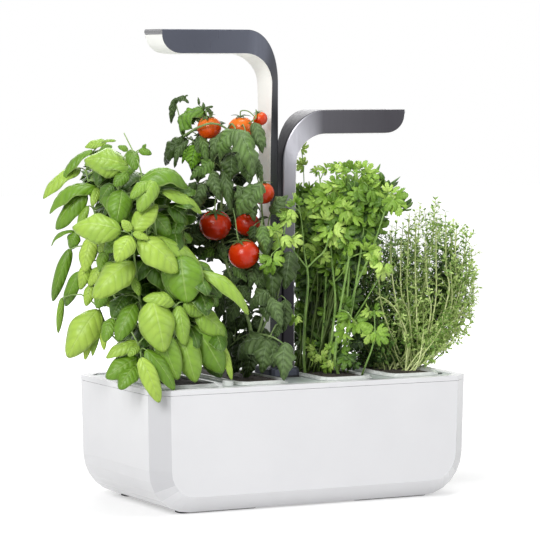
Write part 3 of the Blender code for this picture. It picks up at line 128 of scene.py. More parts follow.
class Nodes:
    """Short calls for building a material's node tree."""

    def __init__(self, name):
        self.material = bpy.data.materials.new(name)
        self.material.use_nodes = True
        self.tree = self.material.node_tree
        self.shader = self.tree.nodes["Principled BSDF"]

    def add(self, kind, inputs=None, **settings):
        """A new node with its settings and inputs."""
        node = self.tree.nodes.new(kind)
        for key, value in settings.items():
            setattr(node, key, value)
        for key, value in (inputs or {}).items():
            self.put(node.inputs[key], value)
        return node

    def put(self, socket, value):
        """Link an input to another node's output, or set its value."""
        if isinstance(value, bpy.types.NodeSocket):
            self.tree.links.new(value, socket)
        else:
            socket.default_value = value

    def set(self, **values):
        """Set inputs of the shader, named with underscores for spaces."""
        for key, value in values.items():
            self.put(self.shader.inputs[key.replace("_", " ")], value)

    def math(self, operation, *values):
        node = self.add("ShaderNodeMath", operation=operation)
        for socket, value in zip(node.inputs, values):
            self.put(socket, value)
        return node.outputs[0]

    def plus(self, first, second):
        return self.math("ADD", first, second)

    def minus(self, first, second):
        return self.math("SUBTRACT", first, second)

    def times(self, first, second):
        return self.math("MULTIPLY", first, second)

    def coordinates(self, kind="Object"):
        return self.add("ShaderNodeTexCoord").outputs[kind]

    def stored(self, name):
        """The value that the mesh stores for each of its points under a name."""
        return self.add("ShaderNodeAttribute", attribute_name=name).outputs["Fac"]

    def noise(self, scale, detail=4, roughness=0.55, vector=None):
        node = self.add("ShaderNodeTexNoise", {"Scale": scale, "Detail": detail, "Roughness": roughness})
        self.put(node.inputs["Vector"], vector or self.coordinates())
        return node.outputs["Fac"]

    def ramp(self, factor, *stops):
        """A colour ramp: stops are (position, colour)."""
        node = self.add("ShaderNodeValToRGB", {"Fac": factor})
        points = node.color_ramp.elements
        while len(points) < len(stops):
            points.new(0.5)
        for point, (position, colour) in zip(points, stops):
            point.position = position
            point.color = (*colour, 1)
        return node.outputs["Color"]

    def two_tones(self, pattern, low, high):
        """The first colour in the hollows of a pattern, the second on its heights."""
        return self.ramp(pattern, (MIDDLE[0], low), (MIDDLE[1], high))

    def span(self, factor, low, high, from_low=0.0, from_high=1.0):
        """The factor mapped onto a range of numbers."""
        node = self.add("ShaderNodeMapRange", {"Value": factor, "From Min": from_low, "From Max": from_high,
                                               "To Min": low, "To Max": high})
        return node.outputs["Result"]

    def uneven(self, pattern, value, shares):
        """A value that a pattern moves between two shares of it."""
        return self.span(pattern, value * shares[0], value * shares[1], *MIDDLE)

    def mix(self, factor, first, second):
        """Two colours mixed by a factor."""
        node = self.add("ShaderNodeMix", data_type="RGBA")
        self.put(node.inputs["Factor"], factor)
        for name, value in (("A", first), ("B", second)):
            colour = value if isinstance(value, bpy.types.NodeSocket) else (*value, 1)
            self.put([s for s in node.inputs if s.name == name and s.type == "RGBA"][0], colour)
        return [s for s in node.outputs if s.type == "RGBA"][0]

    def bump(self, height, distance, strength=1.0):
        node = self.add("ShaderNodeBump", {"Height": height, "Distance": distance, "Strength": strength})
        self.put(self.shader.inputs["Normal"], node.outputs["Normal"])


# Patterns of the plastics and metals: how fine they are, and the middle of their values, which a look uses
BLOTCH_SCALE = 18
GLOSS_SCALE = 60
GRAIN_SCALE = 900
BRUSH_SCALE = 420
SHEEN_SCALE = 9
TRACK_SCALE = 160
TRACK_WIDTH_SHARE = 0.03
MIDDLE = (0.3, 0.7)
# How far the gloss varies around its mean, and how dark the blotches are
GLOSS_SHARES = (0.85, 1.15)
BRUSH_SHARES = (0.8, 1.25)
BLOTCH_SHARE = 0.965
# Depths of the surfaces' reliefs
MOULD_GRAIN = 0.00002
ROUGH_GRAIN = 0.00004
POLISHED_GRAIN = 0.00001
FELT_GRAIN = 0.0003
RUBBER_GRAIN = 0.00006
SOIL_GRAIN = 0.0012
# Painted light: a faint glow that keeps the diffusers bright where the plants shade them
DIFFUSER_PAINTED_GLOW = 0.2
# How a brushing is drawn out along the masts and across the end strips
ALONG_MAST = (1, 1, 0.06)
ALONG_STRIP = (0.06, 1, 1)
# The masts' metal: both tones of its skin, its roughness and the painted tone of its flanks
MAST_LOOKS = {
    # Painted shade on the flanks of the mast
    "left": ((0.062, 0.067, 0.088), (0.098, 0.105, 0.132), 0.34, (0.040, 0.041, 0.045)),
    # A darker skin as painted shade, and a painted silver reflection on the flanks
    "right": ((0.020, 0.018, 0.023), (0.034, 0.032, 0.040), 0.40, (0.46, 0.46, 0.50)),
}
# The planter's white in its two tones, the painted shade on its corner strips and the painted light on its
# undersides
PLANTER_TONES = ((0.755, 0.755, 0.775), (0.780, 0.780, 0.798))
PLANTER_CORNER_PAINTED_SHADE = (0.54, 0.54, 0.56)
PLANTER_UNDERSIDE_PAINTED_LIGHT = (0.93, 0.93, 0.95)


def moulded(name, colour, roughness, coat=0.0, depth=MOULD_GRAIN, glow=0.0):
    """Moulded plastic: a fine grain, faint blotches in its tone and gloss, and any glow given, which is
    painted light.
    """
    look = Nodes(name)
    dark = tuple(channel * BLOTCH_SHARE for channel in colour)
    look.set(Base_Color=look.two_tones(look.noise(BLOTCH_SCALE, 3), dark, colour),
             Roughness=look.uneven(look.noise(GLOSS_SCALE, 5), roughness, GLOSS_SHARES),
             Coat_Weight=coat, Coat_Roughness=0.08, Emission_Color=(*colour, 1), Emission_Strength=glow)
    look.bump(look.noise(GRAIN_SCALE, 2), depth, 0.5)
    return look.material


def brushed(name, colour, light, roughness, direction=(1, 1, 1), second=None):
    """Satin coated metal with a fine lengthwise brushing, and a second tone of painted reflection and shade
    where the mesh says so.
    """
    look = Nodes(name)
    drawn = look.add("ShaderNodeMapping", {"Vector": look.coordinates(), "Scale": direction}).outputs[0]
    grain = look.noise(BRUSH_SCALE, 4, 0.6, drawn)
    base = look.mix(look.span(look.noise(SHEEN_SCALE, 2), 0, 0.5, 0.35, 0.65), colour, light)
    if second:
        base = look.mix(look.stored("painted_reflection_and_shade"), base, second)
    look.set(Base_Color=base, Metallic=0.75, Roughness=look.uneven(grain, roughness, BRUSH_SHARES))
    look.bump(grain, POLISHED_GRAIN, 0.4)
    return look.material


def speckled(name, dark, light, scale, roughness, depth):
    """Soil, felt and rubber: two tones in grains, with real relief."""
    look = Nodes(name)
    grains = look.noise(scale, 6, 0.7)
    look.set(Base_Color=look.ramp(grains, (0.35, dark), (0.68, light)), Roughness=roughness)
    look.bump(grains, depth, 0.8)
    return look.material


def board(name):
    """Solder mask with a faint pattern of tracks."""
    look = Nodes(name)
    tracks = look.add("ShaderNodeTexBrick", {
        "Scale": TRACK_SCALE, "Mortar Size": TRACK_WIDTH_SHARE, "Vector": look.coordinates(),
        "Color1": (0.02, 0.13, 0.06, 1), "Color2": (0.025, 0.16, 0.075, 1), "Mortar": (0.06, 0.24, 0.12, 1)})
    look.set(Base_Color=tracks.outputs["Color"], Roughness=0.38)
    return look.material


def white_plastic():
    """The planter's gloss white, with painted shade on the strips down its upright corners and painted light
    underneath.
    """
    look = Nodes("white_gloss_plastic")
    face = look.add("ShaderNodeSeparateXYZ", {"Vector": look.coordinates("Normal")}).outputs
    # Painted shade on the strips down the upright corners
    corner = look.times(look.math("ABSOLUTE", face["X"]), look.math("ABSOLUTE", face["Y"]))
    tone = look.two_tones(look.noise(BLOTCH_SCALE, 3), *PLANTER_TONES)
    side = look.mix(look.span(corner, 0.0, 0.9, 0.2, 0.42), tone, PLANTER_CORNER_PAINTED_SHADE)
    # Painted light on the faces that look down
    under = look.span(look.times(face["Z"], -1.0), 0.0, 1.0, 0.25, 0.7)
    look.set(Base_Color=look.mix(under, side, PLANTER_UNDERSIDE_PAINTED_LIGHT), Coat_Weight=0.3, Coat_Roughness=0.06,
             Roughness=look.span(look.noise(GLOSS_SCALE, 5), 0.20, 0.27, *MIDDLE))
    look.bump(look.noise(GRAIN_SCALE, 2), POLISHED_GRAIN, 0.4)
    return look.material


def hardware_looks():
    """Give every kept CAD node its material, and make the lamps' shown pieces."""
    white = white_plastic()
    tray = moulded("tray_plastic", (0.50, 0.56, 0.53), 0.30, coat=0.2)
    cup = moulded("cup_plastic", (0.72, 0.74, 0.72), 0.28, coat=0.2)
    dark = moulded("black_plastic", (0.022, 0.022, 0.025), 0.42, depth=ROUGH_GRAIN)
    # The diffusers' glow is painted light
    diffuser = moulded("frosted_diffuser", (0.84, 0.84, 0.805), 0.5, glow=DIFFUSER_PAINTED_GLOW)
    slate = brushed("slate_metal", (0.060, 0.066, 0.088), (0.10, 0.108, 0.135), 0.36, ALONG_MAST)
    steel = brushed("steel", (0.55, 0.55, 0.57), (0.66, 0.66, 0.68), 0.28)
    felt = speckled("wick_felt", (0.55, 0.53, 0.48), (0.74, 0.72, 0.66), 900, 0.95, FELT_GRAIN)
    rubber = speckled("rubber", (0.012, 0.012, 0.012), (0.03, 0.03, 0.03), 700, 0.8, RUBBER_GRAIN)
    green = board("circuit_board")
    strip = brushed("end_strip_metal", (0.20, 0.20, 0.21), (0.34, 0.34, 0.35), 0.30, ALONG_STRIP)
    looks = {
        white: ("planter_tank", "rim_frame"),
        tray: ("growing_tray", "float_guide"),
        cup: tuple("cup_" + name for name in CUPS) + ("level_float",),
        dark: ("mast_well", "mast_lead_left", "mast_lead_right", "mast_foot_left", "mast_foot_right",
               "driver_housing", "power_inlet", "control_button", "button_switch"),
        diffuser: ("diffuser_left", "diffuser_right"),
        slate: ("lamp_shell_left", "lamp_shell_right", "mast_guide"),
        strip: ("end_strip_left", "end_strip_right"),
        steel: ("guide_screw_front", "guide_screw_rear"),
        felt: tuple("wick_" + name for name in CUPS),
        rubber: ("foot_front_left", "foot_front_right", "foot_rear_left", "foot_rear_right", "foot_centre"),
        green: ("light_board_left", "light_board_right", "driver_board"),
    }
    for look, names in looks.items():
        for name in names:
            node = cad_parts[name]
            node.data.materials.clear()
            node.data.materials.append(look)
    # Each lamp's metal, with its flanks' painted reflection and shade
    for side, (colour, light, roughness, flank) in MAST_LOOKS.items():
        mast = brushed(side + "_slate_metal", colour, light, roughness, ALONG_MAST, flank)
        lamp(side, mast, diffuser, strip)


def lamp_stations(top):
    """Sections of a lamp from its foot to its tip: outer point, inner point and both half widths."""
    outer_z = top - OUTER_BEND[1]
    inner_z = top - HEAD_SIZE[1] - INNER_BEND[1]
    narrow, wide, neck = (width / 2 for width in MAST_WIDTHS)
    head = HEAD_SIZE[0] / 2
    stations = [((MAST_NEAR, outer_z - MAST_LENGTH), (MAST_FAR, outer_z - MAST_LENGTH), narrow, wide)]
    for step in range(NECK_STEPS + 1):
        share = step / NECK_STEPS
        z = inner_z - NECK_TAPER * (1 - share)
        stations.append(((MAST_NEAR, z), (MAST_FAR, z), narrow, wide + (neck - wide) * share * share))
    for step in range(1, BEND_STEPS + 1):
        turn = math.radians(90 * step / BEND_STEPS)
        blend = smooth(step / BEND_STEPS)
        outer = (MAST_NEAR + OUTER_BEND[0] * (1 - math.cos(turn)), outer_z + OUTER_BEND[1] * math.sin(turn))
        inner = (MAST_FAR + INNER_BEND[0] * (1 - math.cos(turn)), inner_z + INNER_BEND[1] * math.sin(turn))
        stations.append((outer, inner, narrow + (head - narrow) * blend, neck + (head - neck) * blend))
    for step in range(TIP_STEPS + 1):
        turn = math.radians(90 * step / TIP_STEPS)
        x = LAMP_REACH - TIP_PLATE - TIP_SIZE[0] * (1 - math.sin(turn))
        z = top - HEAD_SIZE[1] + (HEAD_SIZE[1] - TIP_SIZE[1]) * (1 - math.cos(turn))
        stations.append(((x, top), (x, z), head, head))
    return stations


def section_point(station, sign, depth, half_cut, flank):
    """A point of a lamp's section at a depth from its inner side, cut in from its front or rear flank."""
    outer, inner, narrow, wide = station
    share = depth / math.hypot(outer[0] - inner[0], outer[1] - inner[1])
    half = wide + (narrow - wide) * share - half_cut
    return (sign * (inner[0] + (outer[0] - inner[0]) * share), COLUMN_Y + flank * half,
            inner[1] + (outer[1] - inner[1]) * share)


def join_rings(bm, rings):
    """Faces between closed rings of points that follow one another."""
    for low, high in zip(rings, rings[1:]):
        for i in range(len(low)):
            after = (i + 1) % len(low)
            bm.faces.new((low[i], low[after], high[after], high[i]))


def skin_rings(rings, name, look, body):
    """Join rings of places into one closed smooth piece."""
    bm = bmesh.new()
    loops = [[bm.verts.new(point) for point in ring] for ring in rings]
    join_rings(bm, loops)
    for loop in (loops[0], loops[-1]):
        bm.faces.new(loop)
    bmesh.ops.recalc_face_normals(bm, faces=bm.faces)
    made = add_object(name, bm, look, body)
    made.data.set_sharp_from_angle(angle=SHARP_ANGLE)
    return made


def shell_ring(station, sign):
    """A lamp shell's section: a channel with rounded outer edges, open to the inner side."""
    outer, inner = station[:2]
    full = math.hypot(outer[0] - inner[0], outer[1] - inner[1])
    flank = [(0, 0), (EDGE_LOOP, 0), (full - EDGE_RADIUS - EDGE_LOOP, 0)]
    for step in range(EDGE_STEPS + 1):
        turn = math.radians(90 * step / EDGE_STEPS)
        flank.append((full - EDGE_RADIUS * (1 - math.sin(turn)), EDGE_RADIUS * (1 - math.cos(turn))))
    flank.append((full, EDGE_RADIUS + EDGE_LOOP))
    wall = [(0, SHELL_WALL), (full - SHELL_WALL, SHELL_WALL)]
    ring = []
    for points, side in ((flank, -1), (flank[::-1], 1), (wall, 1), (wall[::-1], -1)):
        ring += [section_point(station, sign, depth, cut, side) for depth, cut in points]
    return ring


def lens_ring(station, sign):
    """A diffuser's section: a flat back and a face that bulges a little."""
    half = station[3] - LENS_GAP
    ring = []
    for step in range(LENS_STEPS + 1):
        across = step / LENS_STEPS * 2 - 1
        cut = station[3] - half * abs(across)
        bulge = -LENS_EDGE - LENS_BULGE * (1 - across ** 4)
        ring.append(section_point(station, sign, bulge, cut, 1 if across > 0 else -1))
    return ring + [section_point(station, sign, -LENS_SEAT, LENS_GAP, flank) for flank in (1, -1)]


def block(bm, place, size):
    """A box of a size around a place."""
    bmesh.ops.create_cube(bm, size=1, matrix=Matrix.Translation(place) @ Matrix.Diagonal((*size, 1)))


def vent_cutters(sign, top):
    """Slots with rounded ends across the top of a lamp's head."""
    first = LAMP_REACH - TIP_SIZE[0] - VENT_PITCH * (VENT_COUNT - 1)
    cutters = bmesh.new()
    for i in range(VENT_COUNT):
        block(cutters, Vector((sign * (first + VENT_PITCH * i), COLUMN_Y, top)), (*VENT_SIZE, VENT_DEPTH))
    upright = [e for e in cutters.edges if abs(e.verts[0].co.z - e.verts[1].co.z) > SHELL_WALL]
    bmesh.ops.bevel(cutters, geom=upright, offset=VENT_SIZE[0] * VENT_ROUND_SHARE, segments=2,
                    affect="EDGES")
    return cutters


def end_plate(sign, top):
    """The strip that closes the tip of a lamp's head, with rounded outer edges."""
    bm = bmesh.new()
    middle = LAMP_REACH - TIP_PLATE / 2
    place = Vector((sign * middle, COLUMN_Y, top - TIP_SIZE[1] / 2))
    block(bm, place, (TIP_PLATE, HEAD_SIZE[0], TIP_SIZE[1]))
    outer_edges = [e for e in bm.edges if min(abs(v.co.x) for v in e.verts) > middle]
    bmesh.ops.bevel(bm, geom=outer_edges, offset=TIP_PLATE * PLATE_ROUND_SHARE, segments=3, affect="EDGES")
    return bm


def lamp(side, mast, diffuser, strip):
    """A lamp's shell, its diffuser and its end strip, with soft edges and an even bend."""
    sign, top = LAMP_SIDES[side]
    body = "lamp_" + side
    stations = lamp_stations(top)
    rings = [shell_ring(station, sign) for station in stations]
    piece = skin_rings(rings, "lamp_housing_" + side, mast, body)
    carve(piece, vent_cutters(sign, top))
    # Store the flanks' painted reflection and shade for the material
    paint(piece.data, "painted_reflection_and_shade", [painted_reflection_and_shade_at(side, vert.co, top) if abs(vert.normal.y) > FLANK_LEAST else 0.0
                                for vert in piece.data.vertices])
    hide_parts("lamp_shell_" + side)
    rings = [lens_ring(station, sign) for station in stations]
    piece = skin_rings(rings, "lamp_lens_" + side, diffuser, body)
    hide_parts("diffuser_" + side)
    piece = add_object("lamp_end_strip_" + side, end_plate(sign, top), strip, body, smooth_shaded=False)
    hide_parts("end_strip_" + side)


def painted_reflection_and_shade_at(side, place, top):
    """The share of the painted second tone, reflection and shade, on a lamp's flank at a place."""
    start = top - OUTER_BEND[1]
    middle = MAST_NEAR + OUTER_BEND[0]
    if place.z < start:
        along = (place.z - start) / OUTER_BEND[1]
    elif abs(place.x) > middle:
        along = 1 + (abs(place.x) - middle) / OUTER_BEND[1]
    else:
        along = math.atan2(place.z - start, middle - abs(place.x)) / math.radians(90)
    shares = PAINTED_REFLECTION_AND_SHADE_SHARES[side]
    for (before, low), (after, high) in zip(shares, shares[1:]):
        if before <= along <= after:
            return low + (high - low) * (along - before) / (after - before)
    return shares[0][1] if along < shares[0][0] else shares[-1][1]


def carve(piece, cutters):
    """Cut closed shapes out of a piece."""
    mesh = bpy.data.meshes.new("cutters")
    cutters.to_mesh(mesh)
    cutters.free()
    tool = linked("cutters", mesh)
    cut = piece.modifiers.new("cut", "BOOLEAN")
    cut.object = tool
    cut.solver = "EXACT"
    bpy.context.view_layer.update()
    result = bpy.data.meshes.new_from_object(piece.evaluated_get(bpy.context.evaluated_depsgraph_get()))
    piece.modifiers.clear()
    piece.data = result
    bpy.data.objects.remove(tool, do_unlink=True)


def linked(name, data):
    """A new object of a mesh, a light or a camera, in the scene."""
    made = bpy.data.objects.new(name, data)
    bpy.context.scene.collection.objects.link(made)
    return made


def paint(mesh, name, values):
    """Store a value for each point of a mesh, for its material to read."""
    layer = mesh.color_attributes.new(name, "FLOAT_COLOR", "POINT")
    for point, value in zip(layer.data, values):
        point.color = (value, value, value, 1)


def add_object(name, bm, look, body, smooth_shaded=True):
    """A piece made from a bmesh, with its material, riding on a body."""
    mesh = bpy.data.meshes.new(name)
    bm.to_mesh(mesh)
    bm.free()
    mesh.materials.append(look)
    if smooth_shaded:
        mesh.shade_smooth()
    made = linked(name, mesh)
    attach(made, body)
    return made


# A blade's form: where along it the arch is fullest, how its halves bend down, how its side veins slant,
# and how often its edge rises and falls and how far the right edge runs ahead of the left
ARCH_SHARE = 0.45
CUP_POWER = 1.6
RIPPLE_SLANT = 1.3
WAVE_TURNS = 1.7
WAVE_SHIFT = 1.9
LEAF_THICKNESS = 0.00025
# How near the ceiling leaves start to give way, and how much of their height above that they keep
DUCK_DEPTH = 0.006
DUCK_SHARE = 0.55
# How much further away a stalk seems for each unit that it lies too high to carry a leaf
HIGH_PENALTY = 3


class Leaves:
    """Collects leaf blades, with UVs along and across them, into one mesh."""

    def __init__(self, seed):
        self.verts = []
        self.faces = []
        self.uvs = []
        self.tints = []
        self.random = random.Random(seed)

    def add_point(self, place, uv, tint):
        self.verts.append(place)
        self.uvs.append(uv)
        self.tints.append(tint)

    def blade(self, base, tip, facing, width, arch, outline, cup=0.0, quilt=0.0, tint=0.5,
              across=6, along=9, curl=0.0, veins=6, wave=0.0, twist=0.0, crease=0.0):
        """One blade from base to tip.  Its upper side turns towards facing and bulges by arch.

        outline gives the half width at a share of the length; cup bends the halves down (or up,
        when negative); quilt raises the fields between the side veins; wave makes the edge rise
        and fall; curl bends the tip; crease sinks the midrib between two swelling halves.
        """
        phase = self.random.uniform(0, math.tau)
        chord = tip - base
        length = chord.length
        ahead = chord.normalized()
        normal = (facing - ahead * facing.dot(ahead)).normalized()
        if twist:
            side = ahead.cross(normal)
            normal = (normal * math.cos(twist) + side * math.sin(twist)).normalized()
        middle = base + chord * ARCH_SHARE + normal * length * arch * 2
        start = len(self.verts)
        for i in range(along + 1):
            t = i / along
            point = base * (1 - t) ** 2 + middle * (2 * t * (1 - t)) + tip * t * t
            slope = ((middle - base) * (1 - t) + (tip - middle) * t).normalized()
            side = slope.cross(normal).normalized()
            lift = side.cross(slope)
            point = point - lift * length * curl * t ** 3
            half = width / 2 * outline(t)
            for j in range(across + 1):
                s = j / across * 2 - 1
                ripple = abs(math.sin(math.pi * (t * veins - abs(s) * RIPPLE_SLANT)))
                fields = quilt * width * ripple * (1 - abs(s)) * outline(t)
                height = -cup * half * abs(s) ** CUP_POWER + fields
                height += wave * half * s * s * math.sin(math.tau * WAVE_TURNS * t + phase
                                                         + (s > 0) * WAVE_SHIFT)
                height += crease * half * 4 * abs(s) * (1 - abs(s))
                self.add_point(point + side * half * s + lift * height, (j / across, t), tint)
        row = across + 1
        for i in range(along):
            for j in range(across):
                a = start + i * row + j
                self.faces.append((a, a + 1, a + row + 1, a + row))

    def fan(self, joint, ahead, facing, size, tint, outline, cup, wave, inner=None):
        """A lobed blade: points at (angle, reach) around the joint on its stalk, cupped and wavy."""
        phase = self.random.uniform(0, math.tau)
        normal = (facing - ahead * facing.dot(ahead)).normalized()
        side = ahead.cross(normal)
        start = len(self.verts)
        self.add_point(joint, (0.5, 0.0), tint)
        rings = [share for share in (inner, 1.0) if share]
        for share in rings:
            for angle, reach in outline:
                along = reach * share * math.cos(angle)
                across = reach * share * math.sin(angle)
                lift = cup * across * across - cup * 0.8 * along * along
                lift += wave * reach * share * math.sin(3 * angle + phase)
                place = joint + (ahead * along + side * across + normal * lift) * size
                self.add_point(place, (0.5 + across / 2, along), tint)
        count = len(outline)
        for i in range(count - 1):
            self.faces.append((start, start + i + 1, start + i + 2))
            if len(rings) > 1:
                first, second = start + 1 + i, start + 1 + count + i
                self.faces.append((first, second, second + 1, first + 1))

    def duck(self, ceiling):
        """Press what comes near the ceiling over its place down below it."""
        for place in self.verts:
            start = ceiling(place) - DUCK_DEPTH
            if place.z > start:
                place.z = start + (place.z - start) * DUCK_SHARE

    def build(self, name, look, body, thickness=LEAF_THICKNESS):
        """The collected blades as one piece with a thickness, riding on a body."""
        mesh = bpy.data.meshes.new(name)
        mesh.from_pydata(self.verts, [], self.faces)
        layer = mesh.uv_layers.new(name="UVMap")
        for loop in mesh.loops:
            layer.data[loop.index].uv = self.uvs[loop.vertex_index]
        paint(mesh, "tint", self.tints)
        mesh.materials.append(look)
        mesh.shade_smooth()
        made = linked(name, mesh)
        sheet = made.modifiers.new("sheet", "SOLIDIFY")
        sheet.thickness = thickness
        sheet.offset = 0
        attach(made, body)
        return made


class Stalks:
    """Collects tapering round stalks into one mesh."""

    def __init__(self):
        self.bm = bmesh.new()
        self.paths = []

    def add(self, points, radii, sides=6, remember=False):
        """A closed tube along the points; a remembered one can carry leaves and finer stalks."""
        rings = []
        across = None
        for i, point in enumerate(points):
            before = points[max(i - 1, 0)]
            after = points[min(i + 1, len(points) - 1)]
            along = (after - before).normalized()
            if across is None:
                across = along.orthogonal().normalized()
            across = (across - along * across.dot(along)).normalized()
            up = across.cross(along)
            ring = []
            for k in range(sides):
                turn = math.tau * k / sides
                away = across * math.cos(turn) + up * math.sin(turn)
                ring.append(self.bm.verts.new(point + away * radii[i]))
            rings.append(ring)
        join_rings(self.bm, rings)
        self.bm.faces.new(list(reversed(rings[0])))
        self.bm.faces.new(rings[-1])
        if remember:
            self.paths.append([Vector(p) for p in points])

    def nearest(self, place, drop=0.0):
        """The nearest remembered stalk point, a little below a place."""
        best = None
        for path in self.paths:
            for point in path:
                gap = (point - place).length
                if point.z > place.z - drop:
                    gap += (point.z - place.z + drop) * HIGH_PENALTY
                if best is None or gap < best[0]:
                    best = (gap, point)
        return best[1]

    def build(self, name, look, body):
        """The collected stalks as one piece, riding on a body."""
        bmesh.ops.recalc_face_normals(self.bm, faces=self.bm.faces)
        return add_object(name, self.bm, look, body)


def curve(points, steps):
    """Points of a smooth path through the given ones."""
    path = []
    for i in range(len(points) - 1):
        p0 = points[max(i - 1, 0)]
        p1, p2 = points[i], points[i + 1]
        p3 = points[min(i + 2, len(points) - 1)]
        for k in range(steps):
            t = k / steps
            path.append((p1 * 2 + (p2 - p0) * t + (p0 * 2 - p1 * 5 + p2 * 4 - p3) * t * t
                         + (p1 * 3 - p0 - p2 * 3 + p3) * t ** 3) / 2)
    path.append(points[-1].copy())
    return path


def fading(start, end, count):
    """Radii that go evenly from one end's to the other's."""
    return [start + (end - start) * i / (count - 1) for i in range(count)]


# A leaf's skin: how fine its blotches and the shake of its veins are, how far that shake goes, how narrow
# the midrib and the side veins are, how the side veins sweep forwards, and which part of the half width
# its pale rim takes
LEAF_BLOTCH_SCALE = 70
LEAF_TINT_SHARE = 0.85
SHAKE_SCALE = 120
SHAKE_SHARE = 0.05
RIB_NARROWNESS = 26
VEIN_NARROWNESS = 6
VEIN_SWEEP = (1.35, 2.6)
RIM_SHARES = (0.45, 0.5)
LINE_SOFTNESS = 0.1
LEAF_GLOSS_SHARES = (0.85, 1.2)
# Painted shade in the hollows between the side veins: its tone and how much of it mixes in
FOLD_PAINTED_SHADE = (0.01, 0.03, 0.004)
FOLD_PAINTED_SHADE_SHARE = 0.6
STALK_GRAIN = 0.0001


def line(look, distance, narrowness):
    """1 on a line, falling softly to 0 beside it."""
    return look.minus(1.0, look.math("SMOOTH_MIN", look.times(distance, narrowness), 1.0, LINE_SOFTNESS))


def leaf_look(name, tones, vein, roughness, coat, vein_count, vein_strength, bump, vein_slant=1.3,
              fold_shade_share=0.22, side_share=0.45, rim=0.25, cloud=0.18):
    """A leaf's skin: its own tone, blotches, a pale midrib and side veins, and painted shade between the side
    veins.
    """
    look = Nodes(name)
    blotch = look.noise(LEAF_BLOTCH_SCALE, 3)
    mixed = look.plus(look.times(look.stored("tint"), LEAF_TINT_SHARE), look.times(blotch, cloud))
    tone = look.ramp(mixed, *tones)
    place = look.add("ShaderNodeSeparateXYZ", {"Vector": look.coordinates("UV")}).outputs
    off = look.math("ABSOLUTE", look.minus(place["X"], 0.5))
    rib = line(look, off, RIB_NARROWNESS)
    along = look.plus(place["Y"], look.times(look.noise(SHAKE_SCALE, 2), SHAKE_SHARE))
    sweep = look.times(look.math("POWER", off, VEIN_SWEEP[0]), VEIN_SWEEP[1] * vein_slant)
    phase = look.minus(look.times(along, vein_count), sweep)
    wave = look.math("ABSOLUTE", look.math("SINE", look.times(phase, math.pi)))
    side = line(look, wave, VEIN_NARROWNESS)
    lines = look.math("MINIMUM", look.plus(rib, look.times(side, side_share)), 1.0)
    edge = look.span(off, 0.0, rim, *RIM_SHARES)
    # Painted shade in the hollows between the side veins
    fold = look.times(look.minus(1.0, wave), fold_shade_share)
    shaded = look.mix(fold, tone, look.mix(FOLD_PAINTED_SHADE_SHARE, tone, FOLD_PAINTED_SHADE))
    pale = look.math("MAXIMUM", look.times(lines, vein_strength), edge)
    look.set(Base_Color=look.mix(pale, shaded, vein),
             Roughness=look.uneven(blotch, roughness, LEAF_GLOSS_SHARES),
             Coat_Weight=coat, Coat_Roughness=0.3, Specular_IOR_Level=0.36)
    look.bump(look.minus(wave, lines), bump, 0.7)
    return look.material


def stalk_look(name, low, high, scale=160, roughness=0.5):
    """A stalk's skin: two tones in a fine grain."""
    look = Nodes(name)
    grain = look.noise(scale, 4)
    look.set(Base_Color=look.two_tones(grain, low, high), Roughness=roughness)
    look.bump(grain, STALK_GRAIN, 0.4)
    return look.material


def lobe_oval(t):
    """Half width of an oval leaf: full below the middle, with a short point."""
    return max(math.sin(math.pi * min(t * 0.985 + 0.008, 1.0) ** 0.86), 0.0) ** 0.44 * (1 - 0.24 * t ** 5)


def lobe_lance(t):
    """Half width of a narrow leaf."""
    return max(math.sin(math.pi * min(t * 0.95 + 0.03, 1.0) ** 0.9), 0.0)


def turned(face):
    """The direction of an upper side that leans from straight up (0) to the camera (90)."""
    angle = math.radians(face)
    return UP * math.cos(angle) + CAMERA_BACK * math.sin(angle)


# The least share of its width that a leaf is taken to show, however far it is turned away
LEAST_SHOWN_SHARE = 0.55
# How far a petiole runs on along its leaf, how far its middle lies back, and how its ends differ in radius
PETIOLE_RUN = 0.003
PETIOLE_BACK_SHARE = 0.08
PETIOLE_SHARES = (1.3, 0.6)
PETIOLE_SPREAD_SHARES = (0.85, 1.15)
LEAF_CURLS = (0.0, 0.06)
LEAF_TWISTS = (-0.2, 0.2)
# How far the stalks start below the top of the soil, and the turn from each foot to the next
SOIL_DEPTH = 0.002
FOOT_TURN = 2.4


def real_width(pixels, base, tip, facing):
    """The width of a leaf that shows so many pixels wide once it is turned."""
    ahead = (tip - base).normalized()
    normal = (facing - ahead * facing.dot(ahead)).normalized()
    side = ahead.cross(normal)
    shown = math.sqrt(max(1 - side.dot(CAMERA_BACK) ** 2, 0.0))
    return pixel_length(pixels) / max(shown, LEAST_SHOWN_SHARE)


def on_plane(plane, u, v, ahead=0.0):
    """The point at a pixel, in the slanting middle plane of a plant, or so many mm in front of it."""
    depth, column, slope = plane
    return seen(u, v, depth - (u - column) * slope + ahead)


def pixel(place):
    """The picture's pixel of a point."""
    ray = place - CAMERA_PLACE
    depth = -ray.dot(CAMERA_BACK)
    return (PICTURE_SIZE / 2 + ray.dot(CAMERA_RIGHT) / depth * FOCAL_PIXELS,
            PICTURE_SIZE / 2 - ray.dot(CAMERA_UP) / depth * FOCAL_PIXELS)


def petioles(stalks, rows, drop, radius, seed, bow=0.12):
    """A short stalk from each placed leaf's base back to the nearest point of a main stalk."""
    chance = random.Random(seed)
    first, last = PETIOLE_SHARES
    for base, tip in rows:
        root = stalks.nearest(base, drop)
        gap = (base - root).length
        ahead = (tip - base).normalized()
        middle = (base + root) / 2 + Vector((0, 0, bow * gap)) - ahead * gap * PETIOLE_BACK_SHARE
        path = curve([root, middle, base, base + ahead * PETIOLE_RUN], 2)
        thick = radius * chance.uniform(*PETIOLE_SPREAD_SHARES)
        stalks.add(path, fading(thick * first, thick * last, len(path)), 5)


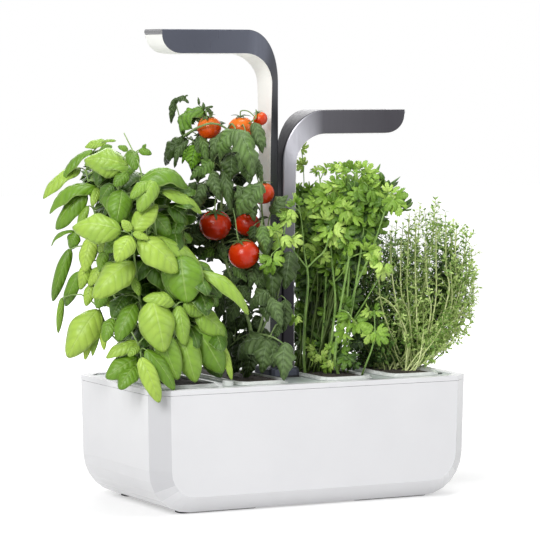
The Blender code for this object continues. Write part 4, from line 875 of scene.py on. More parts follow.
def placed_leaves(leaves, rows, outline, quilt, veins, across, along, wave, plane=None, crease=0.0):
    """Blades from a table of the picture's leaves; returns their base and tip points.

    With a plane, the depths in the table are added to the depth of the plant's slanting middle.
    """
    ends = []
    for u, v, y, u2, v2, y2, wide, face, arch, cup, tone in rows:
        if plane:
            base, tip = on_plane(plane, u, v, y), on_plane(plane, u2, v2, y2)
        else:
            base, tip = seen(u, v, y), seen(u2, v2, y2)
        facing = turned(face)
        leaves.blade(base, tip, facing, real_width(wide, base, tip, facing), arch, outline, cup, quilt, tone,
                     across, along, curl=leaves.random.uniform(*LEAF_CURLS), veins=veins, wave=wave,
                     twist=leaves.random.uniform(*LEAF_TWISTS), crease=crease)
        ends.append((base, tip))
    return ends


def crown(cup, turn=0.0, reach=0.0):
    """A point in a cup, just below the top of the soil, so far from its middle."""
    low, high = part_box("soil_" + cup)
    x = (low.x + high.x) / 2 + reach * math.cos(turn)
    y = (low.y + high.y) / 2 + reach * math.sin(turn)
    return Vector((x, y, high.z - SOIL_DEPTH))


# Rough outlines of the plants in the picture, in pixels, for the leaves that fill them
OUTLINES = {
    "basil": (
        (62, 184), (84, 152), (120, 152), (142, 176), (186, 180), (196, 210), (190, 258), (214, 276),
        (222, 330), (226, 368), (190, 376), (160, 378), (122, 378), (108, 350), (112, 318), (94, 300),
        (96, 262), (92, 236), (86, 200),
    ),
    "tomato": (
        (180, 116), (204, 112), (224, 128), (260, 126), (264, 168), (262, 214), (285, 206), (290, 250),
        (284, 300), (280, 326), (286, 374), (236, 374), (230, 338), (240, 316), (238, 300), (228, 272),
        (204, 240), (166, 236), (170, 205), (190, 182), (200, 150), (172, 142),
    ),
    "parsley": (
        (300, 206), (334, 190), (350, 170), (370, 172), (400, 212), (376, 224), (364, 256), (360, 330),
        (352, 366), (300, 366), (302, 330), (296, 290), (296, 250), (280, 238), (276, 226),
    ),
}
# How far fill leaves may start outside the box of their plant's solid; the boxes once they are known
BOX_SLACK = 0.004
BOXES = {}
# Faces of the solids once they are known; how far leaves lie from them, and the share of tries spent there
SURFACES = {}
SURFACE_JITTER = 0.005
SURFACE_SHARE = 0.5
# How far above and beside a cup the fill leaves of its neighbours stay away, so that it lifts out past them
CUP_CLEARANCE = 0.034
CUP_MARGIN = 0.006
# Fill leaves: how they turn from straight outwards, slope and lean, how they arch, the range of their light,
# the share of it that those nearest the shown leaves get, and the form of their blades
SURFACE_SPREAD = 0.7
SURFACE_LEAN = 0.3
SURFACE_ARCHES = (0.06, 0.2)
INNER_SPREAD = 0.8
INNER_SLOPES = (-0.9, 0.15)
INNER_LEANS = (0.2, 0.9)
INNER_ARCHES = (0.08, 0.22)
# The fill leaves' light and shade are painted into their tone
FILL_LIGHT_SHARES = (0.3, 1.0)
NEAR_LIGHT_SHARE = 0.25
FILL_BLADE = {"cup": 0.4, "across": 4, "along": 6, "wave": 0.15}


def inside(place, plant, node):
    """Whether a point shows inside a plant's rough outline and lies within its solid's box."""
    if node not in BOXES:
        BOXES[node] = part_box(node)
    low, high = BOXES[node]
    if any(place[k] < low[k] - BOX_SLACK or place[k] > high[k] + BOX_SLACK for k in range(3)):
        return False
    u, v = pixel(place)
    within = False
    outline = OUTLINES[plant]
    for (x1, y1), (x2, y2) in zip(outline, outline[1:] + outline[:1]):
        if (y1 > v) != (y2 > v) and u < x1 + (v - y1) * (x2 - x1) / (y2 - y1):
            within = not within
    return within


def on_solid(node, plant, plane, near, chance):
    """A point on a plant's solid and its face's direction, if it lies behind the shown leaves."""
    if node not in SURFACES:
        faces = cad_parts[node].data.polygons
        SURFACES[node] = ([(face.center.copy(), face.normal.copy()) for face in faces],
                          [face.area for face in faces])
    spots, areas = SURFACES[node]
    place, normal = chance.choices(spots, areas)[0]
    place = place + Vector([chance.uniform(-1, 1) for _ in range(3)]) * SURFACE_JITTER
    front = on_plane(plane, *pixel(place), near)
    if (front - place).dot(CAMERA_BACK) < 0 or not inside(place, plant, node):
        return None, None
    return place, normal if normal.z > 0 else -normal


def crowds(place, plant, margin=CUP_MARGIN):
    """Whether a leaf here would be in the way of a neighbouring cup."""
    for other in CUPS:
        low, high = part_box("cup_" + other)
        if (other != plant and low.x - margin < place.x < high.x + margin
                and place.z < high.z + CUP_CLEARANCE):
            return True
    return False


def clear(points, plant, node):
    """Whether all points lie in a plant's outline and out of the way of the neighbouring cups."""
    return all(inside(p, plant, node) for p in points) and not any(crowds(p, plant) for p in points)


def outward(place, plant, spread, chance):
    """A level direction away from the plant's crown, turned a little by chance."""
    centre = crown(plant)
    away = Vector((place.x - centre.x, place.y - centre.y, 0))
    return (away.normalized() + level(chance, (-spread, spread), (-spread, spread))).normalized()


def fill_tone(tones, back, chance):
    """The tone of a fill leaf, with painted light and shade: lighter towards the back, where the leaves are
    outermost again.
    """
    dark, bright = tones
    return dark + (bright - dark) * chance.uniform(*FILL_LIGHT_SHARES) * (
        NEAR_LIGHT_SHARE + (1 - NEAR_LIGHT_SHARE) * back)


def scatter(leaves, ends, plant, node, plane, numbers, outline, veins):
    """Leaves behind those that the picture shows, filling the plant to its back."""
    tries, (near, far), lengths, width_share, tones = numbers
    chance = leaves.random
    for _ in range(int(tries * SURFACE_SHARE)):
        place, normal = on_solid(node, plant, plane, near, chance)
        if place is None:
            continue
        out = outward(place, plant, SURFACE_SPREAD, chance)
        along = (out - normal * out.dot(normal)).normalized()
        length = chance.uniform(*lengths)
        base, tip = place - along * length / 2, place + along * length / 2
        if not clear((base, tip), plant, node):
            continue
        back = min((on_plane(plane, *pixel(place), near) - place).dot(CAMERA_BACK) / (far * MM), 1.0)
        tone = fill_tone(tones, back, chance)
        leaves.blade(base, tip, normal + UP * SURFACE_LEAN, length * width_share,
                     chance.uniform(*SURFACE_ARCHES), outline, tint=tone, veins=veins, **FILL_BLADE)
        ends.append((base, tip))
    columns = [u for u, v in OUTLINES[plant]]
    rows = [v for u, v in OUTLINES[plant]]
    for _ in range(int(tries * (1 - SURFACE_SHARE / 2))):
        back = chance.random()
        column = chance.uniform(min(columns), max(columns))
        row = chance.uniform(min(rows), max(rows))
        base = on_plane(plane, column, row, near + (far - near) * back)
        out = outward(base, plant, INNER_SPREAD, chance)
        length = chance.uniform(*lengths)
        tip = base + (out + UP * chance.uniform(*INNER_SLOPES)).normalized() * length
        if not clear((base, tip), plant, node):
            continue
        tone = fill_tone(tones, back, chance)
        facing = UP + out * chance.uniform(*INNER_LEANS)
        leaves.blade(base, tip, facing, length * width_share, chance.uniform(*INNER_ARCHES), outline,
                     tint=tone, veins=veins, **FILL_BLADE)
        ends.append((base, tip))


# Basil's tones, from deep shade to the brightest young leaf, on a scale of 0 to 1
BASIL_TONES = ((0.05, (0.010, 0.028, 0.002)), (0.30, (0.058, 0.140, 0.006)), (0.55, (0.140, 0.285, 0.014)),
               (0.78, (0.265, 0.435, 0.052)), (1.0, (0.42, 0.60, 0.080)))

# Each leaf's tone is partly its own and partly painted light and shade
# Basil leaves: base u, v and depth; tip u, v and depth; shown width; turn of the face; arch; cup; tone
BASIL_LEAVES = (
    (92, 150, 12, 60, 184, 30, 9, 20, 0.16, 0.5, 0.45),
    (80, 168, 25, 42, 198, 38, 13, 30, 0.14, 0.3, 0.86),
    (97, 187, 5, 49, 213, 32, 14, 25, 0.24, 0.5, 0.52),
    (86, 192, 10, 54, 229, 30, 17, 40, 0.10, 0.5, 0.48),
    (106, 142, 10, 85, 147, 20, 10, 55, 0.12, 0.3, 0.80),
    (104, 141, 8, 116, 141, -8, 4, 40, 0.05, 0.2, 0.75),
    (100, 152, 0, 112, 146, -10, 9, 60, 0.10, 0.3, 0.42),
    (101, 157, 2, 121, 154, -12, 9, 60, 0.12, 0.3, 0.30),
    (128, 166, -40, 84, 160, -20, 27, 62, 0.22, 0.55, 0.80),
    (132, 172, -42, 84, 163, -18, 14, 20, 0.20, 0.4, 0.62),
    (130, 150, -45, 136, 170, -55, 13, 70, 0.10, 0.3, 0.34),
    (128, 150, -40, 118, 146, -36, 6, 60, 0.10, 0.3, 0.50),
    (139, 150, -50, 152, 154, -56, 7, 60, 0.15, 0.3, 0.44),
    (142, 150, -50, 146, 144, -54, 4, 60, 0.10, 0.3, 0.40),
    (128, 172, -45, 114, 186, -45, 13, 65, 0.12, 0.3, 0.40),
    (118, 176, -40, 136, 168, -44, 9, 60, 0.12, 0.3, 0.34),
    (140, 181, -66, 190, 186, -72, 15, 28, 0.30, 0.5, 0.46),
    (152, 186, -62, 192, 190, -66, 15, 65, 0.04, 0.3, 0.22),
    (156, 177, -74, 138, 212, -78, 19, 62, 0.12, 0.5, 0.74),
    (150, 181, -72, 130, 198, -76, 13, 60, 0.16, 0.5, 0.66),
    (162, 191, -72, 202, 213, -66, 13, 50, 0.14, 0.4, 0.80),
    (158, 190, -66, 196, 201, -60, 12, 60, 0.10, 0.3, 0.30),
    (122, 190, -44, 116, 224, -50, 25, 65, 0.12, 0.4, 0.44),
    (104, 190, -20, 132, 224, -46, 22, 60, 0.14, 0.4, 0.38),
    (112, 184, -30, 100, 204, -20, 16, 60, 0.12, 0.4, 0.24),
    (133, 231, -72, 157, 203, -70, 21, 66, 0.12, 0.42, 0.90),
    (121, 231, -66, 72, 227, -40, 27, 56, 0.20, 0.52, 0.84),
    (131, 231, -76, 122, 220, -74, 9, 62, 0.10, 0.3, 0.92),
    (133, 233, -76, 149, 239, -80, 8, 60, 0.12, 0.3, 0.90),
    (131, 236, -76, 116, 262, -84, 21, 60, 0.20, 0.50, 0.93),
    (139, 238, -72, 178, 272, -86, 28, 58, 0.14, 0.46, 0.92),
    (150, 239, -66, 201, 263, -70, 17, 52, 0.12, 0.4, 0.78),
    (133, 262, -62, 93, 298, -60, 29, 60, 0.18, 0.55, 0.90),
    (70, 249, 18, 52, 302, 34, 13, 62, 0.10, 0.5, 0.40),
    (80, 272, 10, 64, 307, 26, 14, 62, 0.10, 0.4, 0.46),
    (62, 298, 22, 58, 334, 30, 7, 62, 0.08, 0.4, 0.66),
    (76, 232, 16, 70, 250, 22, 14, 60, 0.14, 0.4, 0.46),
    (74, 231, 18, 51, 246, 34, 5, 40, 0.22, 0.3, 0.50),
    (92, 237, -4, 84, 272, -6, 18, 62, 0.12, 0.4, 0.97),
    (88, 262, -2, 80, 290, 4, 12, 62, 0.10, 0.4, 0.94), (88, 206, 6, 77, 233, 14, 9, 60, 0.12, 0.4, 0.74),
    (98, 188, 2, 92, 206, -4, 9, 60, 0.10, 0.3, 0.82),
    (98, 310, -14, 67, 358, -10, 30, 62, 0.16, 0.45, 0.92),
    (92, 326, -10, 85, 360, -12, 9, 60, 0.08, 0.3, 1.0),
    (100, 320, -14, 92, 356, -16, 8, 60, 0.08, 0.3, 0.74),
    (103, 322, -18, 104, 350, -22, 8, 60, 0.08, 0.3, 0.98),
    (174, 303, -84, 143, 299, -80, 14, 50, 0.26, 0.5, 0.84),
    (152, 300, -84, 164, 352, -92, 35, 66, 0.10, 0.55, 0.88),
    (178, 306, -84, 185, 346, -88, 17, 64, 0.10, 0.5, 0.74),
    (140, 343, -62, 105, 357, -56, 15, 55, 0.16, 0.4, 0.86),
    (139, 346, -72, 128, 356, -74, 9, 60, 0.12, 0.4, 0.80),
    (138, 358, -64, 106, 378, -60, 21, 62, 0.14, 0.4, 0.50),
    (136, 366, -70, 119, 389, -76, 19, 62, 0.12, 0.4, 0.48),
    (141, 358, -92, 160, 403, -99, 17, 60, 0.10, 0.35, 0.96),
    (160, 333, -80, 178, 380, -86, 24, 64, 0.10, 0.4, 0.58),
    (182, 334, -78, 196, 383, -82, 25, 64, 0.12, 0.4, 0.66),
    (194, 326, -72, 224, 374, -78, 29, 62, 0.12, 0.4, 0.46),
    (196, 312, -74, 226, 336, -80, 22, 58, 0.14, 0.4, 0.68),
    (184, 302, -80, 204, 314, -80, 16, 56, 0.12, 0.4, 0.66),
    (181, 256, -78, 187, 303, -86, 38, 66, 0.06, 0.3, 0.50),
    (168, 262, -68, 178, 300, -74, 20, 62, 0.10, 0.4, 0.40),
    (200, 271, -74, 251, 314, -92, 15, 46, 0.18, 0.5, 0.80),
    (196, 268, -60, 222, 298, -70, 20, 60, 0.10, 0.3, 0.22),
    (135, 304, -56, 117, 341, -60, 21, 62, 0.12, 0.4, 0.46),
    (124, 296, -44, 112, 318, -46, 18, 60, 0.12, 0.3, 0.22),
    (146, 350, -84, 176, 390, -92, 17, 62, 0.10, 0.4, 0.46),
    (222, 344, -72, 232, 380, -76, 8, 60, 0.08, 0.3, 0.95),
    (112, 262, -40, 104, 282, -36, 14, 60, 0.12, 0.4, 0.72),
    (132, 276, -58, 140, 296, -62, 9, 60, 0.10, 0.4, 0.66),
    (120, 238, -50, 104, 252, -44, 15, 60, 0.14, 0.4, 0.44),
    (152, 214, -62, 172, 238, -62, 18, 60, 0.10, 0.3, 0.36),
    (168, 206, -56, 190, 224, -50, 17, 60, 0.12, 0.3, 0.22),
    (148, 262, -50, 172, 290, -56, 22, 60, 0.10, 0.3, 0.26),
    (112, 318, -46, 104, 342, -50, 14, 60, 0.10, 0.3, 0.50),
    (112, 236, -34, 98, 252, -28, 12, 60, 0.12, 0.4, 0.84),
    (106, 248, -30, 99, 272, -24, 12, 60, 0.12, 0.4, 0.56),
    (102, 266, -12, 88, 286, -6, 13, 62, 0.12, 0.4, 0.92),
    (92, 284, -4, 86, 306, -4, 11, 60, 0.12, 0.4, 0.90),
    (106, 290, -34, 96, 308, -26, 14, 60, 0.12, 0.4, 0.44),
    (82, 270, 8, 90, 284, 4, 9, 60, 0.12, 0.4, 0.30),
    (106, 300, -28, 118, 308, -34, 9, 60, 0.12, 0.4, 0.80),
    (108, 226, -34, 116, 246, -40, 13, 60, 0.12, 0.4, 0.50),
    (194, 280, -50, 219, 306, -56, 22, 60, 0.12, 0.4, 0.26),
    (188, 290, -46, 212, 320, -52, 21, 60, 0.12, 0.4, 0.20),
    (200, 314, -54, 228, 338, -60, 20, 60, 0.12, 0.4, 0.34),
    (204, 330, -52, 222, 360, -51, 19, 60, 0.12, 0.4, 0.24),
    (196, 262, -56, 214, 284, -60, 15, 60, 0.12, 0.4, 0.36),
    (204, 350, -50, 222, 378, -56, 18, 60, 0.12, 0.4, 0.16),
)
# Basil stalks: crown first, then u, v and depth of the points, and the radii at the ends in millimetres
BASIL_STALKS = (
    (((150, 340, -22), (140, 300, -48), (135, 262, -60), (132, 234, -74)), 1.5, 0.8),
    (((140, 345, -10), (112, 290, -4), (96, 220, 4), (86, 170, 18)), 1.4, 0.7),
    (((158, 330, -14), (150, 260, -36), (143, 196, -56), (140, 168, -56), (124, 133, -40)), 1.5, 0.5),
    (((170, 350, -40), (176, 330, -66), (175, 304, -84)), 1.3, 0.8),
    (((166, 330, -20), (160, 270, -52), (154, 214, -68), (153, 178, -72)), 1.4, 0.7),
    (((150, 362, -40), (141, 354, -68), (138, 344, -70)), 1.2, 0.8),
    (((136, 355, -10), (112, 335, -8), (99, 308, -12)), 1.1, 0.7),
    (((172, 335, -30), (186, 290, -58), (188, 254, -66)), 1.3, 0.7),
    (((146, 335, -8), (128, 270, -12), (118, 210, -26), (122, 160, -40)), 1.4, 0.7),
    (((140, 330, 12), (110, 270, 18), (88, 235, 14), (80, 215, 14)), 1.1, 0.6),
)
BASIL_FOOT = 0.004
BASIL_RELIEF = 0.0005
BASIL_PETIOLE = 0.0006
BASIL_DROP = 0.004
# The slanting middle plane of a plant: the depth in mm at a column of the picture, and its slope
BASIL_PLANE = (28, 60, 0.9)
# Fill leaves: how many are tried; nearest and furthest place behind the middle plane; least and most length
# in metres; share of the length that the width is; least and most tone
BASIL_SCATTER = (760, (18, 112), (0.026, 0.042), 0.62, (0.04, 0.58))


def basil():
    """Basil: broad creased leaves on round shoots."""
    look = leaf_look("basil_leaf", BASIL_TONES, (0.52, 0.67, 0.24), roughness=0.42, coat=0.12, vein_count=6,
                     vein_strength=0.32, bump=BASIL_RELIEF, fold_shade_share=0.13, side_share=0.16, rim=0.42,
                     cloud=0.26)
    stem = stalk_look("basil_stalk", (0.16, 0.28, 0.06), (0.30, 0.42, 0.14))
    leaves = Leaves(11)
    stalks = Stalks()
    for index, (points, thick, thin) in enumerate(BASIL_STALKS):
        foot = crown("basil", index * FOOT_TURN, BASIL_FOOT)
        path = curve([foot] + [seen(*point) for point in points], 6)
        stalks.add(path, fading(thick * MM, thin * MM, len(path)), 7, remember=True)
    ends = placed_leaves(leaves, BASIL_LEAVES, lobe_oval, quilt=0.045, veins=6, across=10, along=20,
                         wave=0.14, crease=0.09)
    scatter(leaves, ends, "basil", "basil_plant", BASIL_PLANE, BASIL_SCATTER, lobe_oval, veins=5)
    petioles(stalks, ends, BASIL_DROP, BASIL_PETIOLE, seed=5)
    made = leaves.build("basil_leaves", look, "cup_basil")
    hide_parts("basil_plant")
    stalks.build("basil_stalks", stem, "cup_basil")


def lobe_tomato(t):
    """Half width of a tomato leaflet: broad low down, with blunt lobes and teeth along its edge."""
    lobe = abs(math.sin(math.pi * (t * 3.4 + 0.25)))
    tooth = abs(math.sin(math.pi * t * 8.5))
    cut = (0.24 * (1 - lobe) + 0.07 * (1 - tooth)) * smooth(t / 0.15)
    return max(math.sin(math.pi * min(t * 0.97 + 0.02, 1.0) ** 0.72), 0.0) ** 0.8 * (1 - cut)


TOMATO_PLANE = (-4, 228, 0.86)
TOMATO_TONES = ((0.05, (0.010, 0.020, 0.004)), (0.32, (0.044, 0.082, 0.014)), (0.62, (0.122, 0.195, 0.064)),
                (0.92, (0.15, 0.33, 0.016)))
TOMATO_RIPE = (0.53, 0.022, 0.001)
TOMATO_TURNING = (0.80, 0.17, 0.008)

# Their tones, too, are partly painted light and shade
# Tomato leaflets: as the basil leaves, with depths from the middle plane
TOMATO_LEAVES = (
    (204, 111, -6, 182, 139, -4, 20, 40, 0.34, 0.4, 0.80),
    (200, 110, -2, 184, 127, -8, 18, 60, 0.24, 0.4, 0.92),
    (206, 116, -2, 190, 112, 4, 12, 50, 0.20, 0.3, 0.30),
    (174, 99, 0, 171, 124, 4, 8, 50, 0.16, 0.4, 0.26), (184, 98, 0, 172, 103, 2, 5, 50, 0.2, 0.4, 0.30),
    (178, 98, 0, 189, 103, -2, 7, 45, 0.2, 0.4, 0.34), (184, 99, 0, 188, 95, 0, 4, 45, 0.2, 0.4, 0.40),
    (199, 105, 0, 198, 97, 0, 3, 45, 0.2, 0.4, 0.50), (206, 112, -4, 213, 106, -6, 6, 45, 0.2, 0.4, 0.46),
    (204, 110, -4, 203, 102, -4, 4, 45, 0.2, 0.4, 0.56),
    (212, 116, -6, 208, 108, -6, 5, 45, 0.2, 0.4, 0.50),
    (202, 118, -10, 192, 122, -10, 7, 45, 0.2, 0.4, 0.60),
    (187, 139, 0, 164, 166, 4, 17, 52, 0.26, 0.5, 0.16),
    (188, 140, -8, 174, 168, -6, 10, 52, 0.20, 0.5, 0.44),
    (184, 138, -3, 170, 150, 0, 12, 52, 0.20, 0.5, 0.22),
    (196, 145, -12, 191, 170, -14, 19, 62, 0.14, 0.4, 0.98),
    (188, 146, -8, 182, 164, -8, 6, 62, 0.14, 0.4, 0.90),
    (202, 134, -16, 208, 166, -18, 11, 60, 0.16, 0.5, 0.66),
    (198, 136, -14, 198, 158, -14, 8, 60, 0.16, 0.5, 0.52),
    (223, 132, -22, 211, 162, -24, 14, 55, 0.24, 0.5, 0.50),
    (236, 130, -30, 219, 158, -28, 22, 52, 0.22, 0.5, 0.62),
    (236, 130, -30, 254, 178, -30, 26, 52, 0.24, 0.5, 0.60),
    (246, 134, -30, 240, 172, -32, 17, 58, 0.18, 0.5, 0.56),
    (254, 123, -12, 263, 154, -12, 16, 54, 0.24, 0.5, 0.52),
    (258, 128, -4, 266, 148, -4, 9, 54, 0.24, 0.5, 0.60),
    (256, 158, -14, 262, 184, -10, 9, 54, 0.14, 0.5, 0.50),
    (232, 154, -20, 230, 182, -20, 22, 60, 0.12, 0.4, 0.24),
    (246, 156, -18, 250, 184, -20, 20, 60, 0.12, 0.4, 0.32),
    (214, 160, -18, 200, 178, -14, 18, 58, 0.16, 0.4, 0.70),
    (206, 166, -10, 190, 180, -8, 12, 58, 0.16, 0.4, 0.64),
    (212, 172, -22, 220, 201, -24, 18, 60, 0.14, 0.5, 0.56),
    (225, 170, -20, 231, 212, -22, 14, 60, 0.12, 0.5, 0.40),
    (204, 184, -12, 196, 212, -10, 15, 60, 0.14, 0.5, 0.50),
    (196, 182, -6, 186, 196, -6, 9, 60, 0.14, 0.5, 0.34),
    (260, 188, -24, 236, 216, -22, 27, 58, 0.18, 0.5, 0.60),
    (246, 188, -20, 234, 200, -18, 14, 56, 0.18, 0.5, 0.54),
    (252, 200, -22, 254, 222, -20, 11, 60, 0.10, 0.5, 0.34),
    (234, 198, -10, 234, 216, -10, 14, 60, 0.10, 0.4, 0.16),
    (190, 205, 4, 172, 222, 8, 16, 60, 0.14, 0.4, 0.20),
    (202, 244, 2, 166, 228, 8, 22, 56, 0.16, 0.4, 0.22),
    (196, 226, 0, 180, 240, 2, 18, 60, 0.12, 0.4, 0.14),
    (198, 248, 2, 216, 258, 0, 14, 60, 0.12, 0.4, 0.46),
    (262, 226, -14, 268, 262, -16, 18, 60, 0.14, 0.5, 0.22),
    (254, 226, -8, 254, 244, -8, 14, 60, 0.10, 0.4, 0.14),
    (271, 213, 2, 288, 195, 0, 15, 56, 0.16, 0.5, 0.46),
    (290, 252, 0, 285, 290, -2, 24, 62, 0.12, 0.4, 0.12),
    (278, 248, 2, 268, 268, 4, 18, 60, 0.12, 0.4, 0.16),
    (274, 262, -8, 272, 302, -8, 20, 62, 0.12, 0.5, 0.20),
    (266, 266, -4, 258, 296, -4, 18, 62, 0.12, 0.5, 0.14),
    (268, 291, -14, 249, 310, -12, 20, 58, 0.18, 0.5, 0.44),
    (270, 297, -16, 282, 327, -18, 17, 58, 0.16, 0.5, 0.52),
    (264, 300, -12, 268, 322, -12, 14, 58, 0.16, 0.5, 0.40),
    (250, 268, -8, 232, 276, -6, 11, 58, 0.18, 0.5, 0.40),
    (254, 272, -8, 262, 290, -8, 12, 58, 0.18, 0.5, 0.36),
    (238, 302, -6, 226, 328, -6, 15, 58, 0.16, 0.5, 0.34),
    (234, 296, -2, 224, 310, 0, 10, 58, 0.16, 0.5, 0.24),
    (266, 338, -18, 238, 360, -14, 25, 52, 0.24, 0.5, 0.38),
    (267, 339, -20, 262, 374, -20, 24, 58, 0.20, 0.5, 0.40),
    (270, 340, -16, 274, 368, -18, 18, 58, 0.18, 0.5, 0.48),
    (285, 343, -20, 284, 381, -22, 23, 62, 0.16, 0.5, 0.52),
    (244, 340, -6, 234, 368, -4, 18, 60, 0.12, 0.5, 0.12),
    (252, 350, -6, 246, 380, -6, 18, 60, 0.12, 0.5, 0.14),
    (280, 324, -6, 274, 340, -8, 10, 60, 0.12, 0.5, 0.34),
    (262, 318, 2, 246, 336, 4, 18, 60, 0.12, 0.5, 0.10),
    (250, 312, 0, 236, 330, 2, 16, 60, 0.12, 0.5, 0.12),
    (202, 202, 4, 180, 214, 6, 19, 60, 0.14, 0.4, 0.46),
    (174, 236, 4, 206, 239, 0, 24, 62, 0.16, 0.4, 0.32),
    (180, 246, 6, 202, 256, 4, 17, 60, 0.14, 0.4, 0.30),
    (214, 250, 0, 197, 260, -2, 12, 60, 0.14, 0.4, 0.76),
    (219, 243, 2, 227, 261, 0, 10, 60, 0.16, 0.4, 0.58),
    (261, 226, -20, 266, 252, -20, 16, 60, 0.14, 0.4, 0.64),
    (256, 262, -10, 250, 288, -10, 15, 60, 0.14, 0.4, 0.40),
    (234, 266, -10, 247, 282, -10, 13, 60, 0.14, 0.4, 0.66),
    (244, 270, -6, 231, 284, -6, 12, 60, 0.14, 0.4, 0.50),
    (229, 270, 0, 222, 286, 0, 9, 60, 0.14, 0.4, 0.34),
    (240, 286, -6, 250, 302, -6, 14, 60, 0.14, 0.4, 0.30),
    (226, 312, 4, 232, 336, 4, 14, 60, 0.12, 0.5, 0.18),
    (286, 300, 0, 284, 332, 0, 16, 60, 0.12, 0.5, 0.30),
    (238, 316, 4, 224, 340, 6, 18, 60, 0.12, 0.5, 0.24),
    (242, 334, 4, 226, 360, 6, 20, 60, 0.12, 0.5, 0.20),
    (240, 352, 0, 228, 378, 0, 18, 60, 0.12, 0.5, 0.16),
    (262, 184, -32, 249, 208, -30, 17, 60, 0.14, 0.4, 0.58),
    (230, 332, -4, 222, 356, -4, 10, 60, 0.12, 0.5, 0.50),
    (236, 278, 8, 252, 304, 8, 15, 60, 0.12, 0.5, 0.14),
    (224, 294, 6, 217, 322, 6, 14, 60, 0.12, 0.5, 0.30),
    (224, 251, 4, 206, 262, 6, 10, 58, 0.14, 0.5, 0.18),
    (250, 276, 10, 240, 302, 10, 14, 60, 0.12, 0.5, 0.18),
)
# Tomato stalks: pixels and depths from the middle plane, and the radii at the ends in millimetres
TOMATO_STALKS = (
    (((244, 360, -6), (251, 334, -14), (244, 308, -8), (236, 290, -4), (226, 262, 0), (221, 226, 4),
      (222, 190, 4), (220, 160, 2), (214, 138, -2), (206, 116, -2)), 2.0, 0.9),
    (((252, 350, -4), (262, 320, -4), (268, 280, 0), (266, 240, 2), (262, 212, 0), (261, 192, -14)),
     1.4, 0.7),
    (((262, 330, -2), (276, 300, 6), (282, 276, 6), (290, 254, 4)), 1.1, 0.6),
    (((226, 262, 0), (212, 248, 4), (200, 240, 6), (192, 210, 6), (198, 184, 0)), 1.0, 0.6),
    (((222, 190, 4), (206, 160, 2), (194, 142, -2), (185, 134, 0), (176, 104, 2)), 1.1, 0.5),
    (((220, 160, 2), (232, 140, -6), (246, 126, -8), (256, 118, -8)), 1.1, 0.6),
    (((251, 334, -14), (266, 335, -18), (278, 340, -18), (290, 350, -14)), 1.0, 0.6),
    (((251, 334, -14), (240, 338, -10), (230, 346, -6)), 0.8, 0.5),
    (((266, 240, 2), (270, 216, 6), (278, 202, 6), (287, 196, 2)), 0.8, 0.5),
    (((184, 136, -18), (190, 132, -26), (199, 127, -32), (210, 123.5, -30), (220, 125, -22), (230, 131, -14)),
     1.2, 0.9),
)
# Each fruit: how far its top leans right, towards the camera and up; its ripeness
FRUIT_TOPS = (
    (-0.2, 0.35, 1.0, 0.35), (0.0, 0.15, 1.0, 0.12), (-0.5, 0.2, 1.0, 0.55), (0.0, 0.1, 1.0, 0.6),
    (0.0, 0.55, 1.0, 1.0), (0.1, 0.2, 1.0, 1.0), (-0.35, 0.3, 1.0, 0.9),
)
# How much larger each fruit shows than its solid
FRUIT_SWELL_SHARES = (1.18, 1.16, 1.12, 1.0, 1.12, 1.24, 1.12)
# How far a fruit moves to the right in the picture
FRUIT_SHIFTS = (-0.0012, 0.0004, 0.0, -0.0036, -0.0010, 0.0012, -0.0006)
# Where the stalks of some fruits start, as pixels and a depth from the middle plane
FRUIT_ROOTS = {4: (256, 174, -12), 6: (254, 204, -14), 7: (233, 208, -22)}
# Its fill leaves, as the basil's
TOMATO_SCATTER = (520, (8, 62), (0.020, 0.030), 0.60, (0.05, 0.40))
# The tomato's stalks: how many start at the crown, the first one's turn and the turn to the next, and how
# far from the cup's middle they start
TOMATO_ROOTED = 3
TOMATO_FOOT_TURNS = (-1.2, 0.9)
TOMATO_FOOT = 0.018
TOMATO_PETIOLE = 0.0005
TOMATO_RISE = 0.002
TOMATO_RELIEF = 0.0011
# A fruit's form: rings and sides, ribs and their depth, its height, its dimple and how wide and, underneath,
# how shallow that is, and how far out its sepals sit; all but the counts are shares of its radius
FRUIT_RINGS = 18
FRUIT_SIDES = 32
RIB_COUNT = 5
RIB_SHARE = 0.018
FRUIT_HEIGHT_SHARE = 0.93
DIMPLE_SHARE = 0.13
DIMPLE_WIDTH_SHARE = 0.3
LOWER_DIMPLE_SHARE = 0.25
SEPAL_SEAT_SHARE = 0.82
# How much less ripe a fruit is at its top than below, and how much riper below than its table says
UNRIPE_TOP = 0.45
RIPER_BELOW = 0.16
# Its skin: the tone between turning and ripe, that of the flecks, how fine cloud, flecks and relief are, the
# relief's depth, and how far red, green and blue light go in
FRUIT_MIDDLING = (0.64, 0.052, 0.003)
FLECK_TONE = (0.9, 0.45, 0.2)
FRUIT_SCALES = (55, 900, 500)
FRUIT_RELIEF = 0.00003
FRUIT_LIGHT_DEPTHS = (0.004, 0.0012, 0.0006)
# Sepals: how many, how far above the fruit they start, and their lengths, slopes, widths and tones
SEPAL_COUNT = 6
SEPAL_LIFT = 0.0006
SEPAL_LENGTH_SHARES = (0.62, 0.85)
SEPAL_SLOPE_SHARES = (-0.25, 0.2)
SEPAL_WIDTH_SHARE = 0.2
SEPAL_TONES = (0.45, 0.8)
# Fruit stalks: how far above and behind its fruit one looks for its root, its bow, its radii, and how far
# its knee lies above the fruit and its end in it, as shares of the fruit's radius
ROOT_RISE = 0.03
ROOT_BACK = 0.01
PEDICEL_BOW = 0.003
PEDICEL_RADII = (0.0005, 0.0007)
KNEE_SHARE = 0.5
PEDICEL_SINK_SHARE = 0.06


